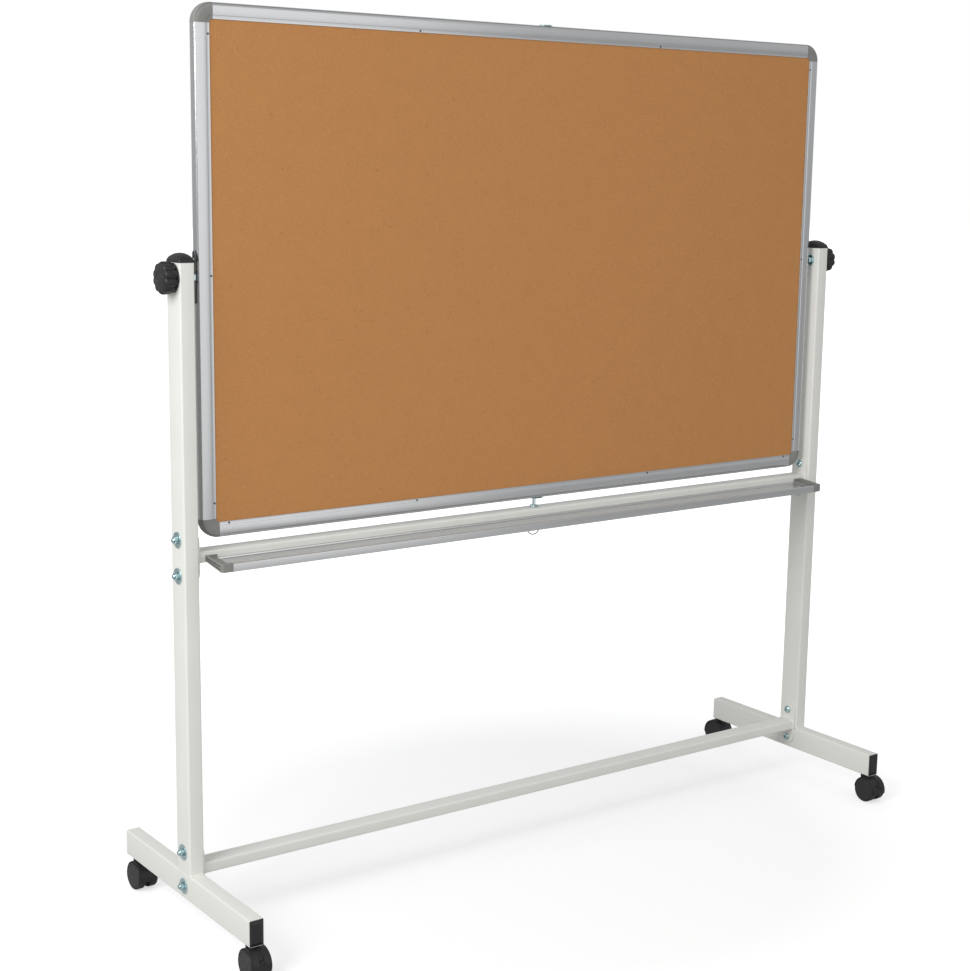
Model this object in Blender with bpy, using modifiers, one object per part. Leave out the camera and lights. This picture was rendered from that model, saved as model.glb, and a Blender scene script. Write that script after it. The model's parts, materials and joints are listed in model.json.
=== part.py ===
"""Reversible cork and dry-wipe board on a rolling stand, with its marker tray and flip latch.

Metres, +Z up, +X to the right and +Y to the back. The origin is on the floor, under the middle of the stand.
The cork side faces -Y. The board turns about a line through its two side rails, at pivot_height.
"""

import math

import bmesh
import bpy
from mathutils import Matrix, Vector

# Air and overlaps
gap = 0.0003  # air between pieces that touch or slide on each other
overrun = 0.001  # how far a cutter runs past a face, or a welded shape sinks into its neighbour

# Board and its aluminium edge
pivot_height = 1.186
board_width = 1.489
board_height = 0.922
board_depth = 0.024
rail_face = 0.0285
rail_wall = 0.0015
rail_round = 0.0110  # radius of the two rounded halves of the rail's outer side
groove_depth = 0.0010
lip_width = 0.0060
lip_drop = 0.0006
lip_thickness = 0.0011
chamber_width = 0.0100  # hollow in the outer part of the rail
corner_radius = 0.0345
tongue_thickness = 0.0082
tongue_height = 0.0116
tongue_length = 0.025
cork_thickness = 0.0030
steel_thickness = 0.0006
face_rise = 0.0002  # how far a panel's open face swells past its edge under the lips
face_margin = 0.0010

# Stand
upright_gap = 0.0133  # from the board's side to the upright
upright_width = 0.0283
upright_depth = 0.0525
upright_rise = 0.026  # how far the upright stands above the pivot
tube_wall = 0.0015
tube_round = 0.0028
foot_length = 0.500
foot_height = 0.0493
caster_height = 0.058
crossbar_height = 0.0207
crossbar_depth = 0.038
vent_radius = 0.003  # drain hole under the lower crossbar, which its end plates close
latch_room = 0.0197  # air between the board's lower edge and the upper crossbar
lower_crossbar_rise = 0.0076  # from the top of the feet up to the middle of the lower crossbar
end_plate_width = 0.044
end_plate_height = 0.094
end_plate_thickness = 0.003

# Black plastic caps and plugs
cap_rise = 0.0145
cap_edge = 0.0012  # straight rim under the cap's arch
cap_insert_depth = 0.018
plug_thickness = 0.003
plug_insert_depth = 0.013
plug_chamfer = 0.0022

# Crossbar bolts, each with its washer and nut
bolt_spread = 0.0325  # from the crossbar's middle to each bolt
bolt_radius = 0.0040
bolt_head_radius = 0.0088
bolt_head_height = 0.0050
# radius and height on the bolt's domed head, as shares of the head's radius and height
bolt_dome_shares = ((0.0, 1.0), (0.55, 0.86), (0.90, 0.45), (1.0, 0.0))
bolt_washer_radius = 0.0145
bolt_washer_thickness = 0.0018
bolt_nut_flats = 0.013
bolt_nut_height = 0.0062
bolt_end = 0.0035  # thread left standing past the nut

# Narrow pivot plates with their studs, and clamping knobs
pivot_plate_height = 0.091
pivot_plate_width = 0.011
pivot_plate_thickness = 0.0020
stud_radius = 0.0040
stud_head_radius = 0.0065
stud_cone_start = 0.0027  # from the board's side to where the head's cone begins
stud_cone_depth = 0.0045  # from the board's side to where the head's cone is full
stud_head_depth = 0.0085  # from the board's side to the head's end, inside the rail's chamber
stud_nut_flats = 0.017
stud_nut_height = 0.0074  # from the plate's outer face
pivot_washer_radius = 0.013
pivot_washer_thickness = 0.0030
knob_radius = 0.0285
knob_flange_radius = 0.0258
knob_flange = 0.0030
knob_depth = 0.0255
knob_bore_depth = 0.020
knob_lobes = 10
knob_lobe_share = 0.09  # depth of the flutes between the lobes
knob_points_per_lobe = 5
# height and radius of the knob's rings, as shares of the lobed body's height and radius
knob_ring_shares = ((0.0, 0.90), (0.12, 0.97), (0.70, 1.0), (0.88, 0.97), (1.0, 0.82))

# Marker tray
tray_side_gap = 0.0148  # from the upright to the tray's end
tray_depth = 0.0620
tray_height = 0.0150
tray_drop = 0.0127  # from the crossbar's top down to the tray's rim
tray_wall = 0.0016
tray_floor_level = 0.0045  # underside of the floor above the tray's bottom edge, at the front
tray_back_level = 0.0098  # underside of the floor above the tray's bottom edge, at the back
tray_bead = 0.0036
tray_cap_length = 0.0230
tray_cap_back_rise = 0.0055  # how far the end caps stand above the tray's rim at the back
tray_cap_front_rise = 0.0006
tray_cap_round = 0.0060
tray_cap_slot_height = 0.0026
tray_cap_slot_depth = 0.0020
tray_cap_slot_margin = 0.0040
tray_cap_slot_shares = (0.36, 0.70)  # places of the two slots up the cap's end
tray_cap_tongue = 0.010
tray_cap_tongue_depth = 0.012

# Flip latch
pin_radius = 0.00325
pin_tail_radius = 0.00275
pin_collar_radius = 0.0060
pin_collar_height = 0.0020
pin_bite = 0.0034  # how far the pin's tip stands up inside the bottom rail when the board is locked
pin_travel = 0.0062
pin_tail_drop = 0.0090  # from the crossbar's underside to the pin's lower end
pin_tip_chamfer = 0.0010
strike_length = 0.024
strike_width = 0.014
strike_thickness = 0.0014
strike_offset = 0.006
strike_hole_radius = 0.0050
strike_screw_radius = 0.0032
strike_screw_height = 0.0012
guide_radius = 0.0060
guide_nut_flats = 0.015
guide_nut_height = 0.0050
guide_flange_radius = 0.0080
guide_flange_height = 0.0010
spring_wire = 0.0008
spring_radius = 0.0046
spring_turns = 5
spring_points_per_turn = 10
ring_radius = 0.0142
ring_wire = 0.0016
ring_eye_radius = 0.0015
ring_eye_drop = 0.0048  # from the crossbar's underside to the eye

# Casters
caster_inset = 0.024  # from the foot's plugged end to the swivel axis
wheel_radius = 0.026
wheel_width = 0.0155
wheel_offset = 0.015  # from the swivel axis to the axle
wheel_edge = 0.0020
wheel_cover = 0.0030
web_thickness = 0.0090
hood_width = 0.036
hood_gap = 0.0012
hood_wall = 0.0020
neck_radius = 0.0095
stem_radius = 0.0050
stem_length = 0.034
axle_radius = 0.0030
boss_radius = 0.0085
brake_pin_radius = 0.0012
brake_hub_radius = 0.0040
brake_plate_thickness = 0.0040
brake_pedal_width = 0.0086
brake_pedal_thickness = 0.0030
brake_pedal_length = 0.0080
brake_reach = 0.01295  # from the brake's pivot to the pedal's middle
brake_slot_length = 0.0110

# Angles in degrees, and counts
groove_angle = 135  # place of the groove on the rail's rounded side, from the board's inside
groove_spread = 4.5
hood_front_angle = -12
hood_back_angle = 178
web_inset_angle = 4
boss_gap_angle = 30
brake_pivot_angle = 48
brake_pivot_share = 0.74  # place of the brake's pivot between the axle and the hood
# which way each caster trails, turned from the back
caster_turns = {"front_left": 180, "front_right": 180, "rear_left": 183, "rear_right": 8}
round_steps = 20
small_steps = 12
bolt_steps = 10
corner_steps = 6
arc_steps = 3
tube_corner_steps = 2

# Places that follow from the sizes above
board_half = board_width / 2
board_half_depth = board_depth / 2
channel_depth = rail_wall + chamber_width + rail_wall
panel_half = board_half_depth - lip_drop - lip_thickness - gap
upright_inner = board_half + upright_gap
upright_outer = upright_inner + upright_width
upright_centre = (upright_inner + upright_outer) / 2
foot_top = caster_height + foot_height
upright_bottom = foot_top + gap
upright_top = pivot_height + upright_rise
board_bottom = pivot_height - board_height / 2
crossbar_top = board_bottom - latch_room
crossbar_bottom = crossbar_top - crossbar_height
upper_crossbar = crossbar_top - crossbar_height / 2
lower_crossbar = foot_top + lower_crossbar_rise
crossbar_end = upright_inner - gap
foot_end = foot_length / 2 + plug_thickness
swivel_back = foot_end - caster_inset
tray_half_length = upright_inner - tray_side_gap
tray_top = crossbar_top - tray_drop
tray_bottom = tray_top - tray_height
tray_back = -crossbar_depth / 2 - gap
tray_front = tray_back - tray_depth

# Colours as red, green and blue
white_paint = (0.78, 0.78, 0.76)
aluminium = (0.62, 0.64, 0.66)
grey_plastic = (0.26, 0.27, 0.26)
black_plastic = (0.02, 0.02, 0.02)
zinc = (0.55, 0.62, 0.68)
cork_brown = (0.44, 0.20, 0.08)
board_white = (0.90, 0.90, 0.90)
core_brown = (0.35, 0.24, 0.15)

for leftover in list(bpy.data.objects):
    bpy.data.objects.remove(leftover, do_unlink=True)

parts = bpy.data.collections.new("reversible_cork_board")
cutters = bpy.data.collections.new("cutters")
bpy.context.scene.collection.children.link(parts)
bpy.context.scene.collection.children.link(cutters)


def place_mesh(name, shape, collection):
    """Turns a bmesh into an object of that collection."""
    mesh = bpy.data.meshes.new(name)
    shape.to_mesh(mesh)
    shape.free()
    made = bpy.data.objects.new(name, mesh)
    collection.objects.link(made)
    if collection is cutters:
        made.hide_render = True
        made.display_type = "WIRE"
    return made


def block(name, low, high, collection=parts):
    """A box between two opposite corners."""
    size = Vector(high) - Vector(low)
    middle = (Vector(high) + Vector(low)) / 2
    shape = bmesh.new()
    bmesh.ops.create_cube(shape, size=1, matrix=Matrix.Translation(middle) @ Matrix.Diagonal((*size, 1)))
    return place_mesh(name, shape, collection)


def along(axis):
    """Turns local Z to the named axis."""
    if axis == "X":
        return Matrix.Rotation(math.radians(90), 4, "Y")
    if axis == "Y":
        return Matrix.Rotation(math.radians(-90), 4, "X")
    return Matrix.Identity(4)


def rod(name, radius, start, length, axis, steps=round_steps, collection=cutters):
    """A cylinder from its start point, running the given length along an axis."""
    shape = bmesh.new()
    reach = abs(length)
    bmesh.ops.create_cone(shape, cap_ends=True, segments=steps, radius1=radius, radius2=radius, depth=reach)
    turn = along(axis)
    middle = Vector(start) + turn @ Vector((0, 0, length / 2))
    shape.transform(Matrix.Translation(middle) @ turn)
    return place_mesh(name, shape, collection)


# Turns a section drawn in X and Y so that X runs to the back and Y runs up
facing_side = Matrix.Rotation(math.pi / 2, 4, "Z") @ Matrix.Rotation(math.pi / 2, 4, "X")


def evaluated_mesh(made):
    """The object's mesh with its modifiers worked in."""
    bpy.context.view_layer.update()
    depsgraph = bpy.context.evaluated_depsgraph_get()
    return bpy.data.meshes.new_from_object(made.evaluated_get(depsgraph))


def prism(name, outlines, length, collection=parts):
    """A flat outline, with any holes in it, extruded to a length about local Z and made a mesh."""
    curve = bpy.data.curves.new(name, "CURVE")
    curve.dimensions = "2D"
    curve.fill_mode = "BOTH"
    curve.extrude = length / 2
    for outline in outlines:
        spline = curve.splines.new("POLY")
        spline.points.add(len(outline) - 1)
        spline.use_cyclic_u = True
        for point, (across, up) in zip(spline.points, outline):
            point.co = (across, up, 0, 1)
    drawn = bpy.data.objects.new(name, curve)
    parts.objects.link(drawn)
    mesh = evaluated_mesh(drawn)
    bpy.data.objects.remove(drawn)
    shape = bmesh.new()
    shape.from_mesh(mesh)
    bmesh.ops.remove_doubles(shape, verts=shape.verts, dist=gap / 100)
    bmesh.ops.recalc_face_normals(shape, faces=shape.faces)
    return place_mesh(name, shape, collection)


def turned(name, profile, steps=round_steps, collection=parts):
    """A profile of radius and height, from top to bottom, turned about local Z."""
    mesh = bpy.data.meshes.new(name)
    edges = [(number, number + 1) for number in range(len(profile) - 1)]
    mesh.from_pydata([(radius, 0, height) for radius, height in profile], edges, [])
    made = bpy.data.objects.new(name, mesh)
    collection.objects.link(made)
    screw = made.modifiers.new("turn", "SCREW")
    screw.steps = steps
    screw.render_steps = steps
    screw.use_merge_vertices = True
    screw.merge_threshold = gap / 100
    if collection is cutters:
        made.hide_render = True
        made.display_type = "WIRE"
    return made


def boolean(made, operation, others):
    """Cuts the others from a piece, or welds them to it."""
    for other in others:
        step = made.modifiers.new(operation.lower() + "_" + other.name, "BOOLEAN")
        step.operation = operation
        step.object = other
    return made


def cut(made, *others):
    return boolean(made, "DIFFERENCE", others)


def weld(made, *others):
    return boolean(made, "UNION", others)


def settle(made):
    """Works a piece's modifiers into its mesh and returns the mesh, for pieces that repeat."""
    mesh = evaluated_mesh(made)
    made.modifiers.clear()
    bpy.data.objects.remove(made)
    return mesh


def copy_of(name, mesh, place=Matrix.Identity(4)):
    """One more object that shares a mesh."""
    made = bpy.data.objects.new(name, mesh)
    parts.objects.link(made)
    made.matrix_world = place
    return made


def finish(made, colour, roughness, metallic=0.0):
    """Gives a piece its own material and smooth shading between its sharp edges."""
    material = bpy.data.materials.new(made.name + "_finish")
    material.use_nodes = True
    shader = material.node_tree.nodes["Principled BSDF"]
    shader.inputs["Base Color"].default_value = (*colour, 1)
    shader.inputs["Roughness"].default_value = roughness
    shader.inputs["Metallic"].default_value = metallic
    made.data.materials.clear()
    made.data.materials.append(None)
    made.material_slots[0].link = "OBJECT"
    made.material_slots[0].material = material
    made.data.shade_smooth()
    made.data.set_sharp_from_angle(angle=math.radians(30))
    return made


def pivot(name, location, turn=0.0, parent=None):
    """An empty on a joint's axis."""
    made = bpy.data.objects.new(name, None)
    parts.objects.link(made)
    made.parent = parent
    made.location = location
    made.rotation_euler = (0, 0, turn)
    return made


def hang_on(made, holder, place):
    """Parents a piece drawn in world coordinates to an unturned empty that stands at a place."""
    made.parent = holder
    made.matrix_parent_inverse = Matrix.Translation(-Vector(place))
    return made


def arc(centre, radius, start, end, steps):
    """Points on an arc, with its angles in degrees."""
    angles = [math.radians(start + (end - start) * number / steps) for number in range(steps + 1)]
    return [(centre[0] + radius * math.cos(angle), centre[1] + radius * math.sin(angle)) for angle in angles]


def rounded_rectangle(width, height, radius, steps=arc_steps):
    """Outline of a rectangle with round corners, about its middle."""
    right = width / 2 - radius
    top = height / 2 - radius
    outline = []
    for quarter, (across, up) in enumerate(((right, top), (-right, top), (-right, -top), (right, -top))):
        outline += arc((across, up), radius, 90 * quarter, 90 * quarter + 90, steps)
    return outline


def hexagon(flats):
    """Outline of a hexagon of that width across its flats."""
    return arc((0, 0), flats / 2 / math.cos(math.radians(30)), 0, 300, 5)


def circle(radius):
    """Outline of a circle."""
    return arc((0, 0), radius, 0, 360, round_steps)[:-1]


def square_tube(name, width, height, length):
    """A rectangular tube with round corners, open at both ends, about local Z."""
    outside = rounded_rectangle(width, height, tube_round, tube_corner_steps)
    inner_round = tube_round - tube_wall
    inside = rounded_rectangle(width - 2 * tube_wall, height - 2 * tube_wall, inner_round, tube_corner_steps)
    return prism(name, (outside, inside), length)


# Where the board turns
board_axis = (0, 0, pivot_height)
board_pivot = pivot("board_pivot", board_axis)


def rail_section(open_chamber):
    """Section of the edge: distance in from the board's outer edge, and depth either side of its middle."""
    lip_level = board_half_depth - lip_drop
    channel = panel_half + gap
    round_centre = (rail_round, board_half_depth - rail_round)
    half = [(rail_face, lip_level), (rail_face - lip_width, lip_level)]
    half.append((rail_face - lip_width - lip_drop, board_half_depth))
    half += arc(round_centre, rail_round, 90, groove_angle - groove_spread, arc_steps)
    half += arc(round_centre, rail_round - groove_depth, groove_angle, groove_angle, 1)[:1]
    half += arc(round_centre, rail_round, groove_angle + groove_spread, 180, arc_steps)
    mirrored = [(inward, -depth) for inward, depth in reversed(half)]
    outline = half + mirrored
    outline += [(rail_face, -channel), (channel_depth, -channel)]
    outline += [(channel_depth, channel), (rail_face, channel)]
    if not open_chamber:
        return (outline,)
    hollow = arc(round_centre, rail_round - rail_wall, 90, 180, arc_steps)
    hollow = [(rail_wall + chamber_width, board_half_depth - rail_wall)] + hollow
    hollow += [(inward, -depth) for inward, depth in reversed(hollow)]
    return (outline, hollow)


def make_rails():
    """Four lengths of aluminium extrusion, cut square where the corner pieces start."""
    side_length = board_height - 2 * corner_radius - 2 * gap
    cross_length = board_width - 2 * corner_radius - 2 * gap
    sides = (
        ("left_rail", side_length, (-board_half, 0, pivot_height), (0, 0, 0)),
        ("right_rail", side_length, (board_half, 0, pivot_height), (0, 0, math.pi)),
        ("bottom_rail", cross_length, (0, 0, board_bottom), (0, -math.pi / 2, 0)),
        ("top_rail", cross_length, (0, 0, board_bottom + board_height), (0, math.pi / 2, 0)),
    )
    for name, length, place, turn in sides:
        rail = prism(name, rail_section(True), length)
        rail.location = place
        rail.rotation_euler = turn
        hang_on(rail, board_pivot, board_axis)
        hole_depth = channel_depth - rail_wall
        if name in ("left_rail", "right_rail"):
            start = place[0] + (overrun if place[0] > 0 else -overrun)
            length_in = hole_depth if place[0] < 0 else -hole_depth
            hole = rod(name + "_stud_hole", stud_radius + gap, (start, 0, pivot_height), length_in, "X")
        else:
            start = place[2] + (overrun if name == "top_rail" else -overrun)
            length_in = hole_depth if name == "bottom_rail" else -hole_depth
            hole = rod(name + "_strike_hole", strike_hole_radius, (0, 0, start), length_in, "Z")
        cut(rail, hole)
        finish(rail, aluminium, 0.35, 1.0)


def make_corners():
    """Moulded corners that carry the rail's section round a quarter turn, with a tongue into each rail."""
    shape = bmesh.new()
    (outline,) = rail_section(False)
    points = [shape.verts.new((inward, depth, 0)) for inward, depth in outline]
    ring = [shape.edges.new((points[number - 1], points[number])) for number in range(len(points))]
    centre = (corner_radius, 0, 0)
    bmesh.ops.spin(
        shape, geom=points + ring, cent=centre, axis=(0, 1, 0), angle=-math.pi / 2, steps=corner_steps,
        use_merge=False,
    )
    open_edges = [edge for edge in shape.edges if edge.is_boundary]
    bmesh.ops.holes_fill(shape, edges=open_edges, sides=0)
    bmesh.ops.recalc_face_normals(shape, faces=shape.faces)
    corner = place_mesh("corner_master", shape, parts)
    far = channel_depth - rail_wall - gap
    near = far - tongue_thickness
    half = tongue_height / 2
    up = block("tongue_up", (near, -half, -overrun), (far, half, tongue_length), cutters)
    reach = corner_radius + tongue_length
    low = near - corner_radius
    across = block(
        "tongue_across", (corner_radius - overrun, -half, low), (reach, half, far - corner_radius), cutters
    )
    weld(corner, up, across)
    mesh = settle(corner)
    raised = corner_radius - board_height / 2
    places = (
        ("lower_left_corner", Matrix.Identity(4)),
        ("lower_right_corner", Matrix.Rotation(math.pi, 4, "Z")),
        ("upper_right_corner", Matrix.Rotation(math.pi, 4, "Y")),
        ("upper_left_corner", Matrix.Rotation(math.pi, 4, "X")),
    )
    for name, turn in places:
        made = copy_of(name, mesh)
        made.parent = board_pivot
        made.matrix_local = turn @ Matrix.Translation((-board_half, 0, raised))
        finish(made, grey_plastic, 0.5)


def panel(name, front, back, raised, colour, roughness, metallic=0.0):
    """A sheet of the board's sandwich, between two depths, with the open part of one face standing proud."""
    inset = channel_depth + gap
    outline = rounded_rectangle(board_width - 2 * inset, board_height - 2 * inset, corner_radius - inset)
    made = prism(name, (outline,), back - front)
    made.data.transform(Matrix.Translation((0, (front + back) / 2, pivot_height)) @ along("Y"))
    if raised is not None:
        margin = rail_face + face_margin
        face = rounded_rectangle(board_width - 2 * margin, board_height - 2 * margin, corner_radius - margin)
        middle = (front + back) / 2
        outer = front + raised if raised < 0 else back + raised
        swell = prism(name + "_face", (face,), abs(outer - middle), cutters)
        swell.data.transform(Matrix.Translation((0, (outer + middle) / 2, pivot_height)) @ along("Y"))
        weld(made, swell)
    hang_on(made, board_pivot, board_axis)
    return finish(made, colour, roughness, metallic)


def make_panels():
    cork_back = -panel_half + cork_thickness
    steel_front = panel_half - steel_thickness
    panel("cork_sheet", -panel_half, cork_back, -face_rise, cork_brown, 0.9)
    panel("board_core", cork_back + gap, steel_front - gap, None, core_brown, 0.8)
    panel("whiteboard_sheet", steel_front, panel_half, face_rise, board_white, 0.12)


def make_strikes():
    """Folded plates on the two long rails that take the latch pin, each with its fixing screw."""
    half = strike_width / 2
    start = strike_offset - strike_length / 2
    end = strike_offset + strike_length / 2
    screw_place = end - strike_screw_radius - strike_thickness
    edges = (("lower_strike", board_bottom, -1), ("upper_strike", board_bottom + board_height, 1))
    for name, level, down in edges:
        outer = level + down * (gap + strike_thickness)
        low, high = sorted((level + down * gap, outer))
        plate = block(name, (start, -half, low), (end, half, high))
        screw = rod(
            name + "_screw", strike_screw_radius, (screw_place, 0, outer - down * overrun / 2),
            down * (strike_screw_height + overrun / 2), "Z", bolt_steps,
        )
        hole = rod(
            name + "_hole", strike_hole_radius, (0, 0, level - down * overrun),
            down * (gap + strike_thickness + 2 * overrun), "Z",
        )
        weld(plate, screw)
        cut(plate, hole)
        hang_on(plate, board_pivot, board_axis)
        finish(plate, zinc, 0.35, 1.0)


def make_uprights():
    """Two standing tubes with their bolt and stud holes, each with its arched cap."""
    length = upright_top - upright_bottom
    for side, name in ((-1, "left"), (1, "right")):
        centre = side * upright_centre
        tube = square_tube(name + "_upright", upright_width, upright_depth, length)
        tube.location = (centre, 0, (upright_top + upright_bottom) / 2)
        start = side * (upright_inner - overrun)
        through = side * (upright_width + 2 * overrun)
        levels = (pivot_height, upper_crossbar + bolt_spread, upper_crossbar - bolt_spread)
        levels += (lower_crossbar + bolt_spread,)
        for number, level in enumerate(levels):
            hole_name = name + "_upright_hole_" + str(number)
            cut(tube, rod(hole_name, bolt_radius + gap, (start, 0, level), through, "X", bolt_steps))
        finish(tube, white_paint, 0.4)
        make_upright_cap(name, centre)


def make_upright_cap(name, centre):
    """A moulded cap: an arch from front to back over a straight rim, with a block that goes down the tube."""
    half = upright_depth / 2
    base = upright_top + gap
    bow = cap_rise - cap_edge
    bow_radius = (half ** 2 + bow ** 2) / (2 * bow)
    slant = math.degrees(math.asin(half / bow_radius))
    arch = arc((0, cap_rise - bow_radius), bow_radius, 90 - slant, 90 + slant, 3 * arc_steps)
    arch += [(-half, 0), (half, 0)]
    cap = prism(name + "_upright_cap", (arch,), upright_width)
    cap.data.transform(Matrix.Translation((centre, 0, base)) @ facing_side)
    room = tube_wall + gap
    wide = upright_width / 2 - room
    deep = half - room
    insert = block(
        name + "_cap_insert", (centre - wide, -deep, base - cap_insert_depth),
        (centre + wide, deep, base + overrun), cutters,
    )
    corners = insert.modifiers.new("round", "BEVEL")
    corners.width = tube_round
    corners.segments = 2
    weld(cap, insert)
    finish(cap, black_plastic, 0.45)


def make_feet():
    """Two floor tubes, open at the ends for their plugs and holed below for the caster stems."""
    for side, name in ((-1, "left"), (1, "right")):
        centre = side * upright_centre
        middle = caster_height + foot_height / 2
        foot = square_tube(name + "_foot", upright_width, foot_height, foot_length)
        foot.rotation_euler = (math.pi / 2, 0, 0)
        foot.location = (centre, 0, middle)
        start = side * (upright_inner - overrun)
        level = lower_crossbar - bolt_spread
        through = side * (upright_width + 2 * overrun)
        hole_name = name + "_foot_bolt_hole"
        cut(foot, rod(hole_name, bolt_radius + gap, (start, 0, level), through, "X", bolt_steps))
        for end, end_name in ((-1, "front"), (1, "rear")):
            hole_name = name + "_foot_stem_hole_" + end_name
            low = (centre, end * swivel_back, caster_height - overrun)
            cut(foot, rod(hole_name, stem_radius + gap, low, tube_wall + 2 * overrun, "Z"))
            make_foot_plug(end_name + "_" + name + "_foot_plug", centre, end, middle)
        finish(foot, white_paint, 0.4)


def make_foot_plug(name, centre, end, middle):
    """A moulded plug: a chamfered flange over the tube's end, and a block inside it."""
    face = foot_length / 2 + gap
    wide = upright_width / 2
    tall = foot_height / 2
    flange_low, flange_high = sorted((end * face, end * (face + plug_thickness - gap)))
    low = (centre - wide, flange_low, middle - tall)
    high = (centre + wide, flange_high, middle + tall)
    plug = block(name, low, high)
    outer = [edge.index for edge in plug.data.edges
             if all(plug.data.vertices[i].co.y * end > face + gap for i in edge.vertices)]
    weights = plug.data.attributes.new("bevel_weight_edge", "FLOAT", "EDGE")
    for number in outer:
        weights.data[number].value = 1.0
    chamfer = plug.modifiers.new("chamfer", "BEVEL")
    chamfer.limit_method = "WEIGHT"
    chamfer.width = plug_chamfer
    chamfer.segments = 1
    room = tube_wall + gap
    inner_low, inner_high = sorted((end * (face - plug_insert_depth), end * (face + overrun)))
    insert = block(
        name + "_insert", (centre - wide + room, inner_low, middle - tall + room),
        (centre + wide - room, inner_high, middle + tall - room), cutters,
    )
    corners = insert.modifiers.new("round", "BEVEL")
    corners.width = tube_round / 2
    corners.segments = 1
    weld(plug, insert)
    finish(plug, black_plastic, 0.45)


def make_crossbars():
    """Two cross tubes, each with a round-ended plate welded on at both ends."""
    for name, level in (("upper_crossbar", upper_crossbar), ("lower_crossbar", lower_crossbar)):
        bar = square_tube(name, crossbar_height, crossbar_depth, 2 * (crossbar_end - end_plate_thickness / 2))
        bar.data.transform(Matrix.Translation((0, 0, level)) @ along("X"))
        for side in (-1, 1):
            outline = rounded_rectangle(end_plate_height, end_plate_width, end_plate_width / 2 - gap)
            plate = prism(name + "_plate_" + str(side + 1), (outline,), end_plate_thickness, cutters)
            across = side * (crossbar_end - end_plate_thickness / 2)
            plate.data.transform(Matrix.Translation((across, 0, level)) @ along("X"))
            weld(bar, plate)
        for side in (-1, 1):
            for up in (-1, 1):
                start = side * (crossbar_end + overrun)
                through = -side * (end_plate_thickness + 2 * overrun)
                hole_name = name + "_hole_" + str(side + 1) + str(up + 1)
                place = (start, 0, level + up * bolt_spread)
                cut(bar, rod(hole_name, bolt_radius + gap, place, through, "X", bolt_steps))
        if name == "upper_crossbar":
            top = (0, 0, crossbar_top - tube_wall - overrun)
            bottom = (0, 0, crossbar_bottom - overrun)
            through = tube_wall + 2 * overrun
            cut(bar, rod("guide_hole", guide_radius + gap, top, through, "Z"))
            cut(bar, rod("tail_hole", pin_tail_radius + gap, bottom, through, "Z"))
        else:
            bottom = (crossbar_end - end_plate_height, 0, level - crossbar_height / 2 - overrun)
            cut(bar, rod("vent_hole", vent_radius, bottom, tube_wall + 2 * overrun, "Z", bolt_steps))
        finish(bar, white_paint, 0.4)


def make_bolts():
    """Domed bolts from inside, each with a washer and a nut against the outer face of the upright or foot."""
    plate_face = end_plate_thickness + 2 * gap
    grip = plate_face + upright_width + gap
    washer_end = grip + bolt_washer_thickness
    tip = washer_end + bolt_nut_height + bolt_end
    dome = [(bolt_head_radius * across, -bolt_head_height * up) for across, up in bolt_dome_shares]
    profile = dome + [(bolt_radius, 0), (bolt_radius, grip), (bolt_washer_radius, grip)]
    profile += [(bolt_washer_radius, washer_end), (bolt_radius, washer_end), (bolt_radius, tip), (0, tip)]
    downward = [(radius, -height) for radius, height in profile]
    bolt = turned("bolt_master", downward, bolt_steps)
    nut = prism("bolt_nut", (hexagon(bolt_nut_flats),), bolt_nut_height + overrun, cutters)
    nut.location = (0, 0, -(washer_end + (bolt_nut_height - overrun) / 2))
    weld(bolt, nut)
    mesh = settle(bolt)
    for side, side_name in ((-1, "left"), (1, "right")):
        turn = Matrix.Rotation(math.radians(-90 * side), 4, "Y")
        for bar_name, level in (("upper", upper_crossbar), ("lower", lower_crossbar)):
            for up, up_name in ((1, "top"), (-1, "bottom")):
                name = side_name + "_" + bar_name + "_crossbar_bolt_" + up_name
                place = (side * (upright_inner - plate_face), 0, level + up * bolt_spread)
                made = copy_of(name, mesh, Matrix.Translation(place) @ turn)
                finish(made, zinc, 0.35, 1.0)


def make_tray():
    """Aluminium extrusion in front of the upper crossbar, its floor falling forward, and its end caps."""
    deep = tray_depth
    high = tray_height
    floor = tray_floor_level
    back = tray_back_level
    bead = tray_bead / 2
    section = [(0, back), (deep - tray_wall, floor), (deep - tray_wall, 0), (deep, 0)]
    section += arc((deep - bead, high - bead), bead, 0, 180, arc_steps)
    section += [(deep - 2 * bead, high - 2 * bead), (deep - tray_wall - bead, floor + 2 * tray_wall)]
    section += [(deep - tray_wall - 2 * bead, floor + tray_wall), (tray_wall + bead, back + tray_wall)]
    section += [(tray_wall, back + tray_wall + bead), (tray_wall, high), (0, high)]
    tray_end = tray_half_length - tray_cap_length - gap
    tray = prism("marker_tray", (section,), 2 * tray_end)
    # the section runs forward from the crossbar, so it is turned about the vertical as well
    facing_front = Matrix.Rotation(math.pi, 4, "Z") @ facing_side
    tray.data.transform(Matrix.Translation((0, tray_back, tray_bottom)) @ facing_front)
    finish(tray, aluminium, 0.35, 1.0)
    for side, name in ((-1, "left_tray_cap"), (1, "right_tray_cap")):
        make_tray_cap(side, name, facing_front)


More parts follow.
